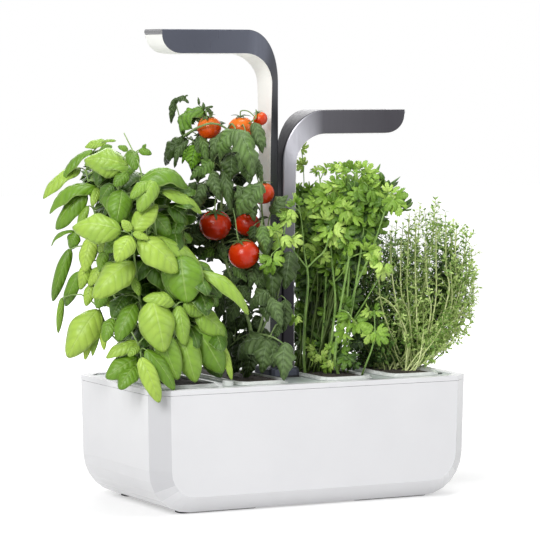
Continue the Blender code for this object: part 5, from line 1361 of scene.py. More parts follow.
def fruit_skin():
    """Glossy tomato skin, orange where it is still turning, with fine pale flecks."""
    look = Nodes("tomato_skin")
    cloud, flecks, relief = (look.noise(scale, detail) for scale, detail in zip(FRUIT_SCALES, (3, 2, 2)))
    mixed = look.plus(look.stored("tint"), look.times(look.minus(cloud, 0.5), 0.35))
    tone = look.ramp(mixed, (0.1, TOMATO_TURNING), (0.55, FRUIT_MIDDLING), (0.95, TOMATO_RIPE))
    look.set(Base_Color=look.mix(look.span(flecks, 0, 0.12, 0.62, 0.8), tone, FLECK_TONE),
             Roughness=look.span(cloud, 0.20, 0.28, *MIDDLE), Specular_IOR_Level=0.34,
             Subsurface_Weight=0.05, Subsurface_Radius=FRUIT_LIGHT_DEPTHS, Subsurface_Scale=1.0)
    look.bump(relief, FRUIT_RELIEF, 0.3)
    return look.material


def fruit(number, lean, ripeness, skin):
    """One tomato: slightly flattened, faintly ribbed, dimpled where its stalk joins."""
    node = "tomato_fruit_%d" % number
    low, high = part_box(node)
    middle = (low + high) / 2 + CAMERA_RIGHT * FRUIT_SHIFTS[number - 1]
    radius = (high.x - low.x) / 2 * FRUIT_SWELL_SHARES[number - 1]
    top = (CAMERA_RIGHT * lean[0] + CAMERA_BACK * lean[1] + UP * lean[2]).normalized()
    across = top.orthogonal().normalized()
    other = top.cross(across)
    bm = bmesh.new()
    shade = bm.verts.layers.float_color.new("tint")
    rings = []
    for i in range(FRUIT_RINGS + 1):
        polar = math.pi * i / FRUIT_RINGS
        dimple = DIMPLE_SHARE * math.exp(-(math.sin(polar) / DIMPLE_WIDTH_SHARE) ** 2)
        dimple *= 1 if i < FRUIT_RINGS / 2 else LOWER_DIMPLE_SHARE
        height = math.cos(polar) * (FRUIT_HEIGHT_SHARE - dimple)
        tone = ripeness - UNRIPE_TOP * smooth(math.cos(polar)) + RIPER_BELOW
        ring = []
        for k in range(FRUIT_SIDES):
            if i in (0, FRUIT_RINGS) and k:
                ring.append(ring[0])
                continue
            turn = math.tau * k / FRUIT_SIDES
            rib = 1 + RIB_SHARE * math.cos(RIB_COUNT * turn + number) * math.sin(polar) ** 2
            wide = math.sin(polar) * rib
            away = across * math.cos(turn) + other * math.sin(turn)
            vert = bm.verts.new(middle + (top * height + away * wide) * radius)
            vert[shade] = (tone, tone, tone, 1)
            ring.append(vert)
        rings.append(ring)
    for upper, lower in zip(rings, rings[1:]):
        for k in range(FRUIT_SIDES):
            m = (k + 1) % FRUIT_SIDES
            bm.faces.new(list(dict.fromkeys([upper[k], lower[k], lower[m], upper[m]])))
    bmesh.ops.recalc_face_normals(bm, faces=bm.faces)
    piece = add_object("tomato_%d" % number, bm, skin, "cup_tomato")
    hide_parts(node)
    return middle + top * radius * SEPAL_SEAT_SHARE, top, radius


def calyx(leaves, place, top, radius, chance):
    """Narrow green sepals that spread and curl from the top of a fruit."""
    across = top.orthogonal().normalized()
    other = top.cross(across)
    start = chance.uniform(0, 1)
    for k in range(SEPAL_COUNT):
        turn = math.tau * (k / SEPAL_COUNT + start)
        away = across * math.cos(turn) + other * math.sin(turn)
        length = radius * chance.uniform(*SEPAL_LENGTH_SHARES)
        tip = place + away * length + top * length * chance.uniform(*SEPAL_SLOPE_SHARES)
        leaves.blade(place + top * SEPAL_LIFT, tip, top, radius * SEPAL_WIDTH_SHARE, 0.16, lobe_lance,
                     cup=0.3, tint=chance.uniform(*SEPAL_TONES), across=2, along=6)


def pedicel(stalks, number, place, top, radius):
    """The short stalk that carries a fruit."""
    if number in FRUIT_ROOTS:
        root = on_plane(TOMATO_PLANE, *FRUIT_ROOTS[number])
    else:
        root = stalks.nearest(place + UP * ROOT_RISE - CAMERA_BACK * ROOT_BACK)
    knee = place + top * radius * KNEE_SHARE
    end = place - top * radius * PEDICEL_SINK_SHARE
    path = curve([root, (root + knee) / 2 + UP * PEDICEL_BOW, knee, end], 6)
    stalks.add(path, fading(*PEDICEL_RADII, len(path)), 6)


def tomato():
    """Vine tomato: lobed leaflets on long stalks, and fruits on their trusses."""
    look = leaf_look("tomato_leaf", TOMATO_TONES, (0.30, 0.42, 0.22), roughness=0.5, coat=0.0, vein_count=6,
                     vein_strength=0.50, bump=TOMATO_RELIEF, fold_shade_share=0.45, side_share=0.35, rim=0.42,
                     cloud=0.30)
    stem = stalk_look("tomato_stalk", (0.13, 0.22, 0.06), (0.27, 0.36, 0.14), 260, 0.7)
    skin = fruit_skin()
    leaves = Leaves(23)
    stalks = Stalks()
    first_turn, next_turn = TOMATO_FOOT_TURNS
    for index, (points, thick, thin) in enumerate(TOMATO_STALKS):
        places = [on_plane(TOMATO_PLANE, *point) for point in points]
        if index < TOMATO_ROOTED:
            places.insert(0, crown("tomato", first_turn + index * next_turn, TOMATO_FOOT))
        path = curve(places, 6)
        stalks.add(path, fading(thick * MM, thin * MM, len(path)), 8, remember=True)
    ends = placed_leaves(leaves, TOMATO_LEAVES, lobe_tomato, quilt=0.11, veins=6, across=10, along=24,
                         wave=0.5, plane=TOMATO_PLANE, crease=0.2)
    scatter(leaves, ends, "tomato", "tomato_vine", TOMATO_PLANE, TOMATO_SCATTER, lobe_tomato, veins=6)
    petioles(stalks, ends, -TOMATO_RISE, TOMATO_PETIOLE, seed=7, bow=0.2)
    sepals = Leaves(31)
    chance = random.Random(41)
    for number, (right, back, up, ripeness) in enumerate(FRUIT_TOPS, 1):
        place, top, radius = fruit(number, (right, back, up), ripeness, skin)
        calyx(sepals, place, top, radius, chance)
        pedicel(stalks, number, place, top, radius)
    made = leaves.build("tomato_leaves", look, "cup_tomato")
    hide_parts("tomato_vine")
    sepals.build("tomato_sepals", look, "cup_tomato")
    stalks.build("tomato_stalks", stem, "cup_tomato")


PARSLEY_PLANE = (-25, 336, 0.98)
PARSLEY_TONES = ((0.05, (0.008, 0.026, 0.003)), (0.27, (0.050, 0.124, 0.010)), (0.50, (0.155, 0.305, 0.024)),
                 (0.70, (0.290, 0.490, 0.060)), (0.92, (0.50, 0.70, 0.15)))
# Each leaf's tone is partly its own and partly painted light and shade
# Parsley leaves: u, v and depth of the joint, length of the middle leaflet, its direction in the picture,
# turn of the face, tone
PARSLEY_LEAVES = (
    (394, 197, -6, 16, -62, 62, 0.34), (388, 193, -4, 11, 28, 60, 0.52),
    (384, 202, -2, 13, -110, 60, 0.26), (372, 188, -4, 15, -20, 58, 0.44),
    (374, 196, 0, 15, -72, 60, 0.30), (362, 196, -4, 15, -120, 60, 0.34), (364, 182, -4, 14, 8, 58, 0.30),
    (366, 173, -4, 12, -14, 55, 0.66), (360, 170, -6, 10, 50, 52, 0.60),
    (352, 171, -4, 11, 100, 56, 0.44), (348, 182, -2, 14, -110, 60, 0.20),
    (356, 190, -8, 14, -60, 60, 0.24), (346, 170, -2, 10, 160, 50, 0.50),
    (345, 186, -4, 12, 170, 58, 0.52), (342, 200, -6, 16, -40, 60, 0.22), (337, 167, 4, 9, 172, 46, 0.62),
    (327, 169, 6, 8, 178, 44, 0.46), (318, 171, 6, 7, -172, 46, 0.64), (304, 166, 18, 9, 150, 66, 0.84),
    (301, 149, 18, 8, 40, 66, 0.84), (336, 186, -2, 13, -170, 60, 0.58),
    (328, 194, -2, 13, -140, 60, 0.50), (318, 200, 0, 14, 170, 56, 0.20),
    (304, 196, 4, 13, 175, 56, 0.26), (310, 190, 4, 10, 60, 56, 0.34), (298, 190, 8, 9, 140, 56, 0.56),
    (306, 188, 8, 8, -50, 56, 0.50), (298, 196, 10, 8, -120, 56, 0.66), (322, 200, -6, 16, -60, 62, 0.66),
    (318, 204, -8, 15, -130, 62, 0.60), (332, 204, -6, 13, 20, 60, 0.60),
    (336, 214, -4, 14, -40, 60, 0.36), (344, 210, -10, 15, -10, 58, 0.68),
    (352, 214, -10, 14, -30, 58, 0.60), (356, 210, -4, 14, 10, 60, 0.38),
    (366, 212, -2, 14, -60, 60, 0.30), (378, 208, 0, 12, -60, 60, 0.34),
    (364, 226, 0, 15, -100, 60, 0.34), (350, 228, -2, 15, -60, 60, 0.28),
    (340, 222, -4, 15, -150, 60, 0.34), (326, 222, -14, 15, 150, 62, 0.72),
    (332, 228, -16, 17, -70, 62, 0.86), (326, 230, -14, 16, -125, 62, 0.78),
    (342, 234, -12, 15, -62, 60, 0.64), (348, 242, -10, 13, -80, 60, 0.52),
    (310, 242, -10, 15, -42, 60, 0.80), (322, 256, -12, 9, -30, 60, 0.86),
    (314, 250, -8, 10, -100, 60, 0.60), (292, 208, -66, 13, -150, 56, 0.72),
    (288, 214, -72, 12, -118, 56, 0.66), (296, 204, -60, 10, 100, 50, 0.62),
    (306, 206, -2, 13, -62, 56, 0.62), (284, 234, -78, 15, -128, 60, 0.84),
    (290, 238, -69, 11, -30, 60, 0.90), (276, 232, -90, 10, 175, 50, 0.66),
    (272, 256, -96, 16, -84, 60, 0.54), (270, 262, -99, 12, -120, 60, 0.44),
    (366, 252, -14, 13, 20, 60, 0.84), (372, 254, -14, 11, -62, 60, 0.80),
    (384, 264, -18, 14, -95, 60, 0.88), (380, 262, -16, 10, 160, 60, 0.76),
    (350, 316, -18, 15, -118, 62, 0.66), (356, 322, -16, 13, -40, 62, 0.70),
    (346, 332, -18, 12, -130, 62, 0.70), (374, 330, -20, 13, -125, 60, 0.62),
    (376, 332, -20, 13, -50, 60, 0.68), (370, 310, -14, 9, -150, 60, 0.66),
    (374, 310, -14, 9, -20, 60, 0.62), (316, 350, -10, 9, -150, 60, 0.80),
    (320, 354, -10, 9, -50, 60, 0.84), (314, 358, -10, 8, -100, 60, 0.74),
    (330, 350, -12, 8, 60, 60, 0.76), (332, 360, -12, 9, -60, 60, 0.84),
    (328, 366, -12, 8, -120, 60, 0.80), (312, 346, -6, 8, 120, 60, 0.64),
    (344, 304, -8, 10, 20, 55, 0.46), (300, 226, 0, 12, -100, 60, 0.42),
    (296, 316, -60, 9, -120, 60, 0.66), (346, 356, -6, 12, -100, 60, 0.24),
    (340, 350, -4, 12, -60, 60, 0.22), (299, 300, 6, 9, -60, 60, 0.38), (298, 322, 4, 10, -120, 60, 0.30),
    (300, 340, 2, 10, -60, 60, 0.30), (298, 354, 2, 9, -100, 60, 0.26), (296, 272, 8, 9, -90, 60, 0.16),
    (296, 288, 10, 9, -120, 60, 0.12), (297, 308, 10, 9, -90, 60, 0.14), (296, 332, 8, 9, -70, 60, 0.12),
    (296, 348, 6, 9, -100, 60, 0.14), (352, 342, 6, 9, -90, 60, 0.16), (351, 354, 6, 9, -80, 60, 0.12),
    (354, 362, 4, 9, -120, 60, 0.14),
)
# Parsley stalks: pixels and depths from the middle plane, the foot's place across and along its cup in
# millimetres, and the radii at the ends
PARSLEY_STALKS = (
    (((335, 360, -14), (337, 335, -14), (340, 310, -14), (346, 276, -12), (349, 258, -12)),
     (8, -34), 1.5, 1.0),
    (((349, 258, -12), (346, 246, -12), (341, 236, -12)), None, 0.9, 0.5),
    (((349, 258, -12), (356, 255, -13), (366, 252, -14)), None, 0.8, 0.5),
    (((304, 355, -20), (305, 320, -30), (308, 285, -38), (307, 268, -40)), (-16, -12), 1.5, 1.1),
    (((307, 268, -40), (300, 259, -50), (292, 248, -64), (288, 236, -72)), None, 0.9, 0.5),
    (((307, 268, -40), (316, 259, -34), (325, 250, -26), (330, 232, -20)), None, 0.9, 0.5),
    (((307, 268, -40), (304, 250, -42), (302, 226, -46), (299, 206, -52)), None, 0.9, 0.5),
    (((340, 310, -14), (348, 313, -16), (357, 326, -16)), None, 0.8, 0.5),
    (((335, 310, -4), (334, 282, -4), (331, 246, -4), (333, 206, -2), (336, 184, 0)), (2, -22), 1.3, 0.7),
    (((324, 320, 0), (326, 285, 0), (327, 250, 0), (323, 214, 0), (320, 180, 4)), (-2, -12), 1.3, 0.7),
    (((350, 320, 2), (358, 270, 2), (364, 226, 0), (364, 200, 0), (374, 187, -4)), (16, -18), 1.2, 0.6),
    (((344, 320, 4), (350, 260, 4), (352, 206, 2), (356, 176, -4)), (12, -6), 1.2, 0.6),
    (((366, 364, -14), (372, 348, -18), (375, 332, -20)), (24, -50), 1.0, 0.7),
    (((300, 240, -50), (284, 234, -76), (272, 229, -94)), None, 0.6, 0.4),
    (((300, 320, 4), (296, 280, 4), (301, 226, 8), (304, 190, 15), (303, 162, 18)), (-12, 4), 0.9, 0.4),
    (((352, 300, 0), (372, 250, -4), (384, 214, -4), (392, 198, -6)), (18, -24), 1.1, 0.6),
    (((334, 282, -4), (343, 272, -6), (347, 262, -8)), None, 0.6, 0.4),
    (((292, 248, -64), (282, 246, -82), (272, 254, -96)), None, 0.6, 0.4),
    (((350, 330, 0), (366, 300, -8), (380, 276, -14), (384, 262, -18)), (20, -30), 0.8, 0.5),
    (((318, 372, -6), (318, 360, -10), (316, 350, -10)), (0, -36), 0.6, 0.4),
    (((332, 374, -8), (332, 366, -12), (331, 358, -12)), (10, -44), 0.6, 0.4),
)
# Half of a parsley leaflet's edge around its joint: angles in degrees and reach as a share of its size
PARSLEY_EDGE_SHARES = (
    (0, 1.0), (4, 0.91), (8, 0.95), (12, 0.80), (16, 0.84), (20, 0.62), (24, 0.40), (28, 0.52),
    (31, 0.78), (35, 0.90), (39, 0.80), (44, 0.86), (49, 0.70), (55, 0.72), (61, 0.50), (70, 0.46),
    (90, 0.20),
)
PARSLEY_PLAIN_EDGE_SHARES = (
    (0, 1.0), (10, 0.92), (18, 0.78), (25, 0.38), (34, 0.88), (45, 0.84), (57, 0.66), (80, 0.28),
)
# The three leaflets of a leaf: their turn in degrees, and their size and gap to the joint as shares
PARSLEY_LEAFLET_SHARES = ((0, 1.0, 0.20), (66, 0.84, 0.10), (-66, 0.84, 0.10))
# How a leaflet varies by chance: its turn in degrees, its lean from and to the camera, its face, tone and
# wave; how cupped it is, and where its inner ring lies
LEAFLET_TURN = 9
LEAFLET_LEANS = (-0.45, 0.6)
LEAFLET_FACE_SHARE = 0.9
LEAFLET_TONES = (-0.26, 0.24)
LEAFLET_CUPS = (-0.55, 0.45)
LEAFLET_WAVE = 0.13
INNER_RING_SHARE = 0.55
# How much larger the leaves grow than in the table, and the painted light above a row of the picture
PARSLEY_GROWTH = 1.1
PARSLEY_TOP_ROW = 204
PARSLEY_TOP_LIGHT = 0.18
PARSLEY_RELIEF = 0.0003
PARSLEY_THICKNESS = 0.0002
# The stalks of the leaves: how far below its leaf one starts, how high its middle bows, and its radii
PARSLEY_DROP = 0.004
PARSLEY_BOW_SHARE = 0.12
PARSLEY_PETIOLE = (0.0006, 0.0004)
# Thin stalks inside the plant: how many, where they start and end (columns, rows and depths), their bend and
# radii, the places of their leaves along them, and those leaves' sizes, turns and tones
PARSLEY_THIN = 46
THIN_FOOT = 0.004
THIN_FOOT_SPREAD = 0.016
THIN_COLUMNS = (300, 362)
THIN_ROWS = (186, 262)
THIN_DEPTHS = (0, 30)
THIN_BEND = 0.006
THIN_BEND_SHARE = 0.4
THIN_PATH_SHARES = (0.4, 0.75)
THIN_RADII = (0.0010, 0.0005)
THIN_LEAF_SHARES = (1.0, 0.86, 0.7)
THIN_LEAF_SIZES = (0.013, 0.018)
THIN_LEAF_FACES = (20, 70)
THIN_LEAF_TONES = (0.2, 0.5)
ANY_TURN = (-180, 180)
# Fill leaves: how many are tried, their columns, rows and depths, sizes and turns; the tones above and below
# a row, and how much lighter those at the front and the back are and those on the solid
PARSLEY_FILL = 210
FILL_COLUMNS = (276, 400)
FILL_ROWS = (160, 366)
FILL_DEPTH = 6
FILL_DEPTH_SPAN = 84
FILL_SIZES = (0.012, 0.019)
FILL_FACES = (10, 70)
# Painted light and shade on the fill leaves: darker below a row, lighter towards the back and on the solid
UPPER_TONES = (0.04, 0.42)
LOWER_TONES = (0.04, 0.26)
PARSLEY_SHADE_ROW = 250
FILL_FRONT_LIGHT = 0.6
SOLID_LIGHT = 1.2
PARSLEY_MARGIN = 0.012
# Left of and above this pixel the parsley is open, with the light background between its leaves
PARSLEY_OPEN = (344, 186)
# How far the cup rises under the right lamp, and the room that is left below the lamp then
PARSLEY_LIFT = 0.022
LAMP_ROOM = 0.001


def whole_edge(half):
    """Both halves of a leaflet's edge, in radians."""
    both = [(-angle, reach) for angle, reach in reversed(half[1:])] + list(half)
    return [(math.radians(angle), reach) for angle, reach in both]


def parsley_leaf(leaves, joint, size, angle, face, tone, fine=True):
    """Three lobed leaflets that spread from one joint, the middle one in the given direction."""
    chance = leaves.random
    facing = turned(face)
    outline = whole_edge(PARSLEY_EDGE_SHARES if fine else PARSLEY_PLAIN_EDGE_SHARES)
    for spread, share, gap in PARSLEY_LEAFLET_SHARES:
        turn = math.radians(angle + spread + chance.uniform(-LEAFLET_TURN, LEAFLET_TURN))
        ahead = CAMERA_RIGHT * math.cos(turn) + CAMERA_UP * math.sin(turn)
        ahead = (ahead + CAMERA_BACK * chance.uniform(*LEAFLET_LEANS)).normalized()
        sway = CAMERA_RIGHT * chance.uniform(-1, 1) + CAMERA_BACK * chance.uniform(-1, 1)
        shade = min(max(tone + chance.uniform(*LEAFLET_TONES), 0.0), 1.0)
        leaves.fan(joint + ahead * size * gap, ahead, facing + sway * LEAFLET_FACE_SHARE, size * share, shade,
                   outline, chance.uniform(*LEAFLET_CUPS), LEAFLET_WAVE, INNER_RING_SHARE if fine else None)


def parsley_shown(leaves, stalks):
    """The main stalks and the leaves that the picture shows."""
    for points, foot, thick, thin in PARSLEY_STALKS:
        places = [on_plane(PARSLEY_PLANE, *point) for point in points]
        if foot:
            places.insert(0, crown("parsley") + Vector((foot[0], foot[1], 0)) * MM)
        path = curve(places, 5)
        stalks.add(path, fading(thick * MM, thin * MM, len(path)), 7, remember=True)
    for u, v, ahead, size, angle, face, tone in PARSLEY_LEAVES:
        joint = on_plane(PARSLEY_PLANE, u, v, ahead)
        # Painted light on the leaves near the top
        light = PARSLEY_TOP_LIGHT if v < PARSLEY_TOP_ROW else 0.0
        parsley_leaf(leaves, joint, pixel_length(size) * PARSLEY_GROWTH, angle, face, tone + light)
        root = stalks.nearest(joint, PARSLEY_DROP)
        middle = (joint + root) / 2 + UP * (joint - root).length * PARSLEY_BOW_SHARE
        path = curve([root, middle, joint], 5)
        stalks.add(path, fading(*PARSLEY_PETIOLE, len(path)), 5)


def parsley_thin_stalks(leaves, stalks):
    """Thin shaded stalks inside the plant, each with a few plain leaves."""
    chance = random.Random(61)
    early, late = THIN_PATH_SHARES
    for index in range(PARSLEY_THIN):
        reach = THIN_FOOT + THIN_FOOT_SPREAD * (index / PARSLEY_THIN)
        foot = crown("parsley", index * FOOT_TURN, reach)
        column = chance.uniform(*THIN_COLUMNS)
        row = chance.uniform(*THIN_ROWS)
        top = on_plane(PARSLEY_PLANE, column, row, chance.uniform(*THIN_DEPTHS))
        if not inside(top, "parsley", "parsley_plant"):
            continue
        bend = level(chance, (-1, 1), (-1, 1)) * THIN_BEND
        below = foot.lerp(top, early) + bend
        above = foot.lerp(top, late) - bend * THIN_BEND_SHARE
        path = curve([foot, below, above, top], 5)
        stalks.add(path, fading(*THIN_RADII, len(path)), 5)
        for share in THIN_LEAF_SHARES:
            beside = Vector((chance.uniform(-1, 1), 1, 0)) * THIN_BEND * (1 - share)
            joint = path[int((len(path) - 1) * share)] + beside
            parsley_leaf(leaves, joint, chance.uniform(*THIN_LEAF_SIZES), chance.uniform(*ANY_TURN),
                         chance.uniform(*THIN_LEAF_FACES), chance.uniform(*THIN_LEAF_TONES), False)


def parsley():
    """Parsley: leaves of three lobed leaflets on long stalks."""
    look = leaf_look("parsley_leaf", PARSLEY_TONES, (0.36, 0.52, 0.16), roughness=0.5, coat=0.05,
                     vein_count=4, vein_slant=1.8, vein_strength=0.3, bump=PARSLEY_RELIEF)
    stem = stalk_look("parsley_stalk", (0.13, 0.27, 0.04), (0.30, 0.46, 0.12))
    shaded_stem = stalk_look("parsley_shaded_stalk", (0.040, 0.075, 0.010), (0.12, 0.19, 0.030))
    leaves = Leaves(57)
    stalks = Stalks()
    thin_stalks = Stalks()
    parsley_shown(leaves, stalks)
    parsley_thin_stalks(leaves, thin_stalks)
    parsley_fill(leaves)
    leaves.duck(under_right_lamp)
    made = leaves.build("parsley_leaves", look, "cup_parsley", PARSLEY_THICKNESS)
    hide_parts("parsley_plant")
    stalks.build("parsley_stalks", stem, "cup_parsley")
    thin_stalks.build("parsley_thin_stalks", shaded_stem, "cup_parsley")


def under_right_lamp(place):
    """How high the parsley may reach at a place, so that it lifts out without meeting the lamp above."""
    if abs(place.y - COLUMN_Y) > HEAD_SIZE[0] / 2 + LAMP_ROOM or not MAST_FAR < place.x < LAMP_REACH:
        return math.inf
    top = LAMP_SIDES["right"][1]
    out = 1 - min((place.x - MAST_FAR) / INNER_BEND[0], 1.0)
    inner = top - HEAD_SIZE[1] - INNER_BEND[1] * (1 - math.sqrt(1 - out * out))
    return inner - LENS_EDGE - LENS_BULGE - PARSLEY_LIFT - LAMP_ROOM


def parsley_takes(joint):
    """Whether a fill leaf may grow here: not in the open part, and clear of the neighbouring cups."""
    column, row = pixel(joint)
    sparse = column < PARSLEY_OPEN[0] and row < PARSLEY_OPEN[1]
    return not sparse and not crowds(joint, "parsley", PARSLEY_MARGIN)


def fill_leaf(leaves, joint, light):
    """One plain leaf, with painted shade below a row of the picture."""
    chance = leaves.random
    tones = UPPER_TONES if pixel(joint)[1] < PARSLEY_SHADE_ROW else LOWER_TONES
    parsley_leaf(leaves, joint, chance.uniform(*FILL_SIZES), chance.uniform(*ANY_TURN),
                 chance.uniform(*FILL_FACES), chance.uniform(*tones) * light, False)


def parsley_fill(leaves):
    """Leaves behind those that the picture shows, darker with painted shade."""
    chance = leaves.random
    for _ in range(PARSLEY_FILL):
        depth = chance.random()
        row = chance.uniform(*FILL_ROWS)
        column = chance.uniform(*FILL_COLUMNS)
        joint = on_plane(PARSLEY_PLANE, column, row, FILL_DEPTH + FILL_DEPTH_SPAN * depth)
        if inside(joint, "parsley", "parsley_plant") and parsley_takes(joint):
            fill_leaf(leaves, joint, FILL_FRONT_LIGHT + depth)
    for _ in range(PARSLEY_FILL):
        joint, normal = on_solid("parsley_plant", "parsley", PARSLEY_PLANE, FILL_DEPTH, chance)
        if joint and parsley_takes(joint):
            fill_leaf(leaves, joint, SOLID_LIGHT)


THYME_TONES = ((0.05, (0.022, 0.056, 0.010)), (0.35, (0.095, 0.215, 0.034)), (0.62, (0.245, 0.420, 0.080)),
               (0.90, (0.52, 0.68, 0.22)))
# Tops of the thyme's outer shoots in the picture
THYME_TOPS = (
    (346, 228), (352, 232), (357, 224), (362, 236), (366, 226), (374, 222), (381, 219), (386, 230),
    (392, 224), (397, 219), (404, 222), (408, 230), (416, 218), (421, 203), (424, 210), (427, 224),
    (434, 205), (434, 197), (439, 214), (443, 228), (449, 224), (455, 220), (458, 221), (464, 232),
    (467, 243), (472, 246), (470, 262), (472, 276), (471, 290), (470, 300), (462, 306), (455, 316),
    (446, 328), (436, 338), (428, 348), (400, 240), (412, 236), (452, 236), (446, 244), (460, 262),
    (456, 282), (430, 232), (378, 236), (390, 244), (368, 244), (356, 250), (474, 262), (466, 228),
    (446, 212), (410, 212),
)
# Pale stems at the front of the thyme: pixels and depths in millimetres from the soil to the top
THYME_STEMS = (
    ((415, 364, -14), (411, 335, -16), (408, 312, -18), (401, 291, -20), (401, 240, -20)),
    ((418, 364, -12), (417, 330, -16), (416, 296, -20), (415, 262, -18), (416, 226, -16)),
    ((421, 364, -12), (427, 335, -14), (431, 308, -14), (427, 285, -14), (425, 240, -10)),
    ((426, 362, -10), (440, 325, -10), (449, 290, -8), (446, 266, -6), (446, 226, 0)),
    ((430, 362, -8), (447, 332, -6), (460, 300, -2), (456, 272, 0), (455, 232, 6)),
    ((413, 364, -14), (409, 345, -20), (404, 326, -24), (394, 307, -26), (381, 297, -24), (376, 300, -22)),
    ((412, 364, -12), (408, 350, -18), (400, 320, -22), (394, 290, -22), (391, 262, -20), (390, 230, -16)),
    ((422, 362, -10), (430, 330, -12), (436, 296, -12), (436, 262, -10), (436, 218, -4)),
    ((428, 363, -6), (440, 350, -4), (458, 322, 0), (466, 290, 6), (466, 252, 12)),
    ((404, 364, -8), (396, 345, -12), (384, 315, -12), (379, 285, -12), (379, 240, -8)),
    ((415, 364, -12), (410, 320, -16), (407, 285, -16), (408, 250, -14), (409, 218, -8)),
    ((424, 363, -4), (434, 348, -8), (446, 322, -8), (452, 300, -6), (450, 262, -2)),
)
# Bare dark branches low down, in the same way
THYME_BRANCHES = (
    ((408, 366, -4), (422, 366, 0), (436, 359, 4), (450, 343, 8), (460, 324, 10), (468, 300, 12)),
    ((398, 364, 4), (384, 356, 6), (372, 340, 8), (366, 318, 10)),
    ((396, 366, 2), (376, 361, 8), (362, 354, 16), (350, 342, 24)),
    ((398, 366, 4), (374, 364, 10), (358, 358, 20), (346, 352, 30)),
    ((400, 366, -4), (390, 352, -6), (380, 330, -6), (370, 306, -4)),
)
# Inner shoots: how many, and the columns and rows of their tops
THYME_INNER = 72
THYME_COLUMNS = (348, 462)
THYME_ROWS = (234, 300)
# A shoot's top: its depths in mm if it is an outer or an inner one, how far it strays from its column, how
# far it may lie outside the solid's box, and how often a depth is tried
OUTER_DEPTHS = (-4, 60)
INNER_DEPTHS = (4, 62)
TOP_STRAY = 2
TOP_SLACK = 0.002
TOP_TRIES = 40
# Where the outer and the inner shoots start, to the right and to the back of the crown
OUTER_FEET = ((-0.006, 0.020), (-0.046, 0.004))
INNER_FEET = ((-0.014, 0.014), (-0.030, 0.034))
# How far out a shoot has gone at shares of its height, and how far it sways in mm
THYME_SPREAD_SHARES = ((0.10, 0.22), (0.28, 0.56), (0.55, 0.88), (0.80, 1.0))
THYME_SWAY = 2.6
# Left of this column the outer shoots are of the shaded kind, with painted shade
THYME_SHADE_COLUMN = 390
THYME_GAP = 0.0048
THYME_OPEN_GAP = 0.0085
# Kinds of shoot: range of tones, share of its length without leaves, radii at its foot and top, and the gap
# between its pairs of leaves
THYME_KINDS = {
    "front": ((0.62, 0.96), 0.08, 0.0009, 0.0006, THYME_OPEN_GAP),
    "branch": ((0.30, 0.50), 0.45, 0.0009, 0.0004, THYME_GAP),
    "outer": ((0.50, 0.98), 0.20, 0.0008, 0.0003, THYME_GAP),
    # Darker tones for the shaded and inner shoots: painted shade
    "shaded": ((0.26, 0.56), 0.20, 0.0008, 0.0003, THYME_GAP),
    "inner": ((0.06, 0.46), 0.06, 0.0007, 0.0003, THYME_GAP),
}
# Leaves: length, and half width and height of the keel as shares of it
THYME_LEAF = 0.0060
LEAF_WIDTH_SHARE = 0.27
KEEL_SHARE = 0.09
# Pairs: where the first comes, as shares of the gap; how they turn, lean ahead and vary in size and tone;
# and how the gap varies
PAIR_START_SHARES = (0.3, 1.0)
PAIR_TURNS = (-0.5, 0.5)
PAIR_LEANS = (0.0, 1.1)
PAIR_SIZE_SHARES = (0.75, 1.25)
PAIR_TONES = (-0.18, 0.18)
PAIR_GAP_SHARES = (0.7, 1.4)
# Leafy twigs: how many pairs carry one, how many leaves at a shoot's end never do, lengths, radii, bow, how
# they lean ahead, how their tone varies, bare share, gap as a share of a shoot's, and leaf length
TWIG_SHARE = 0.5
TWIG_FREE_END = 4
TWIG_LENGTHS = (0.005, 0.013)
TWIG_RADII = (0.00035, 0.0003, 0.00022)
TWIG_BOW_SHARE = 0.08
TWIG_LEANS = (0.6, 1.6)
TWIG_TONES = (-0.1, 0.15)
TWIG_BARE_SHARE = 0.2
TWIG_GAP_SHARE = 0.62
TWIG_LEAF = 0.0044
THYME_GRAIN = 0.0001


def thyme_leaf(bm, shade, base, ahead, up, length, tone):
    """A tiny closed leaf with a keel."""
    side = ahead.cross(up).normalized()
    lift = side.cross(ahead)
    middle = base + ahead * length * 0.5 + lift * length * KEEL_SHARE
    half = side * length * LEAF_WIDTH_SHARE
    verts = []
    for corner in (base, base + ahead * length, middle + half, middle - half):
        vert = bm.verts.new(corner)
        vert[shade] = (tone, tone, tone, 1)
        verts.append(vert)
    foot, tip, right, left = verts
    for a, b, c in ((foot, tip, right), (tip, foot, left), (foot, right, left), (right, tip, left)):
        bm.faces.new((a, b, c))


def thyme_pairs(bm, shade, path, tone, chance, bare_share, gap, size):
    """Pairs of tiny leaves along a stalk, each pair turned across the last; returns their places."""
    length = sum((b - a).length for a, b in zip(path, path[1:]))
    total = 0.0
    due = gap * chance.uniform(*PAIR_START_SHARES)
    turn = chance.uniform(0, math.tau)
    places = []
    for a, b in zip(path, path[1:]):
        step = (b - a).length
        ahead = (b - a).normalized()
        across = ahead.orthogonal().normalized()
        other = ahead.cross(across)
        while due < total + step:
            point = a + ahead * (due - total)
            if due > bare_share * length:
                for flip in (0, math.pi):
                    angle = turn + flip + chance.uniform(*PAIR_TURNS)
                    out = across * math.cos(angle) + other * math.sin(angle)
                    lean = (out + ahead * chance.uniform(*PAIR_LEANS)).normalized()
                    long = size * chance.uniform(*PAIR_SIZE_SHARES)
                    thyme_leaf(bm, shade, point, lean, ahead, long, tone + chance.uniform(*PAIR_TONES))
                    places.append((point, out, ahead))
                turn += math.pi / 2
            due += gap * chance.uniform(*PAIR_GAP_SHARES)
        total += step
    return places


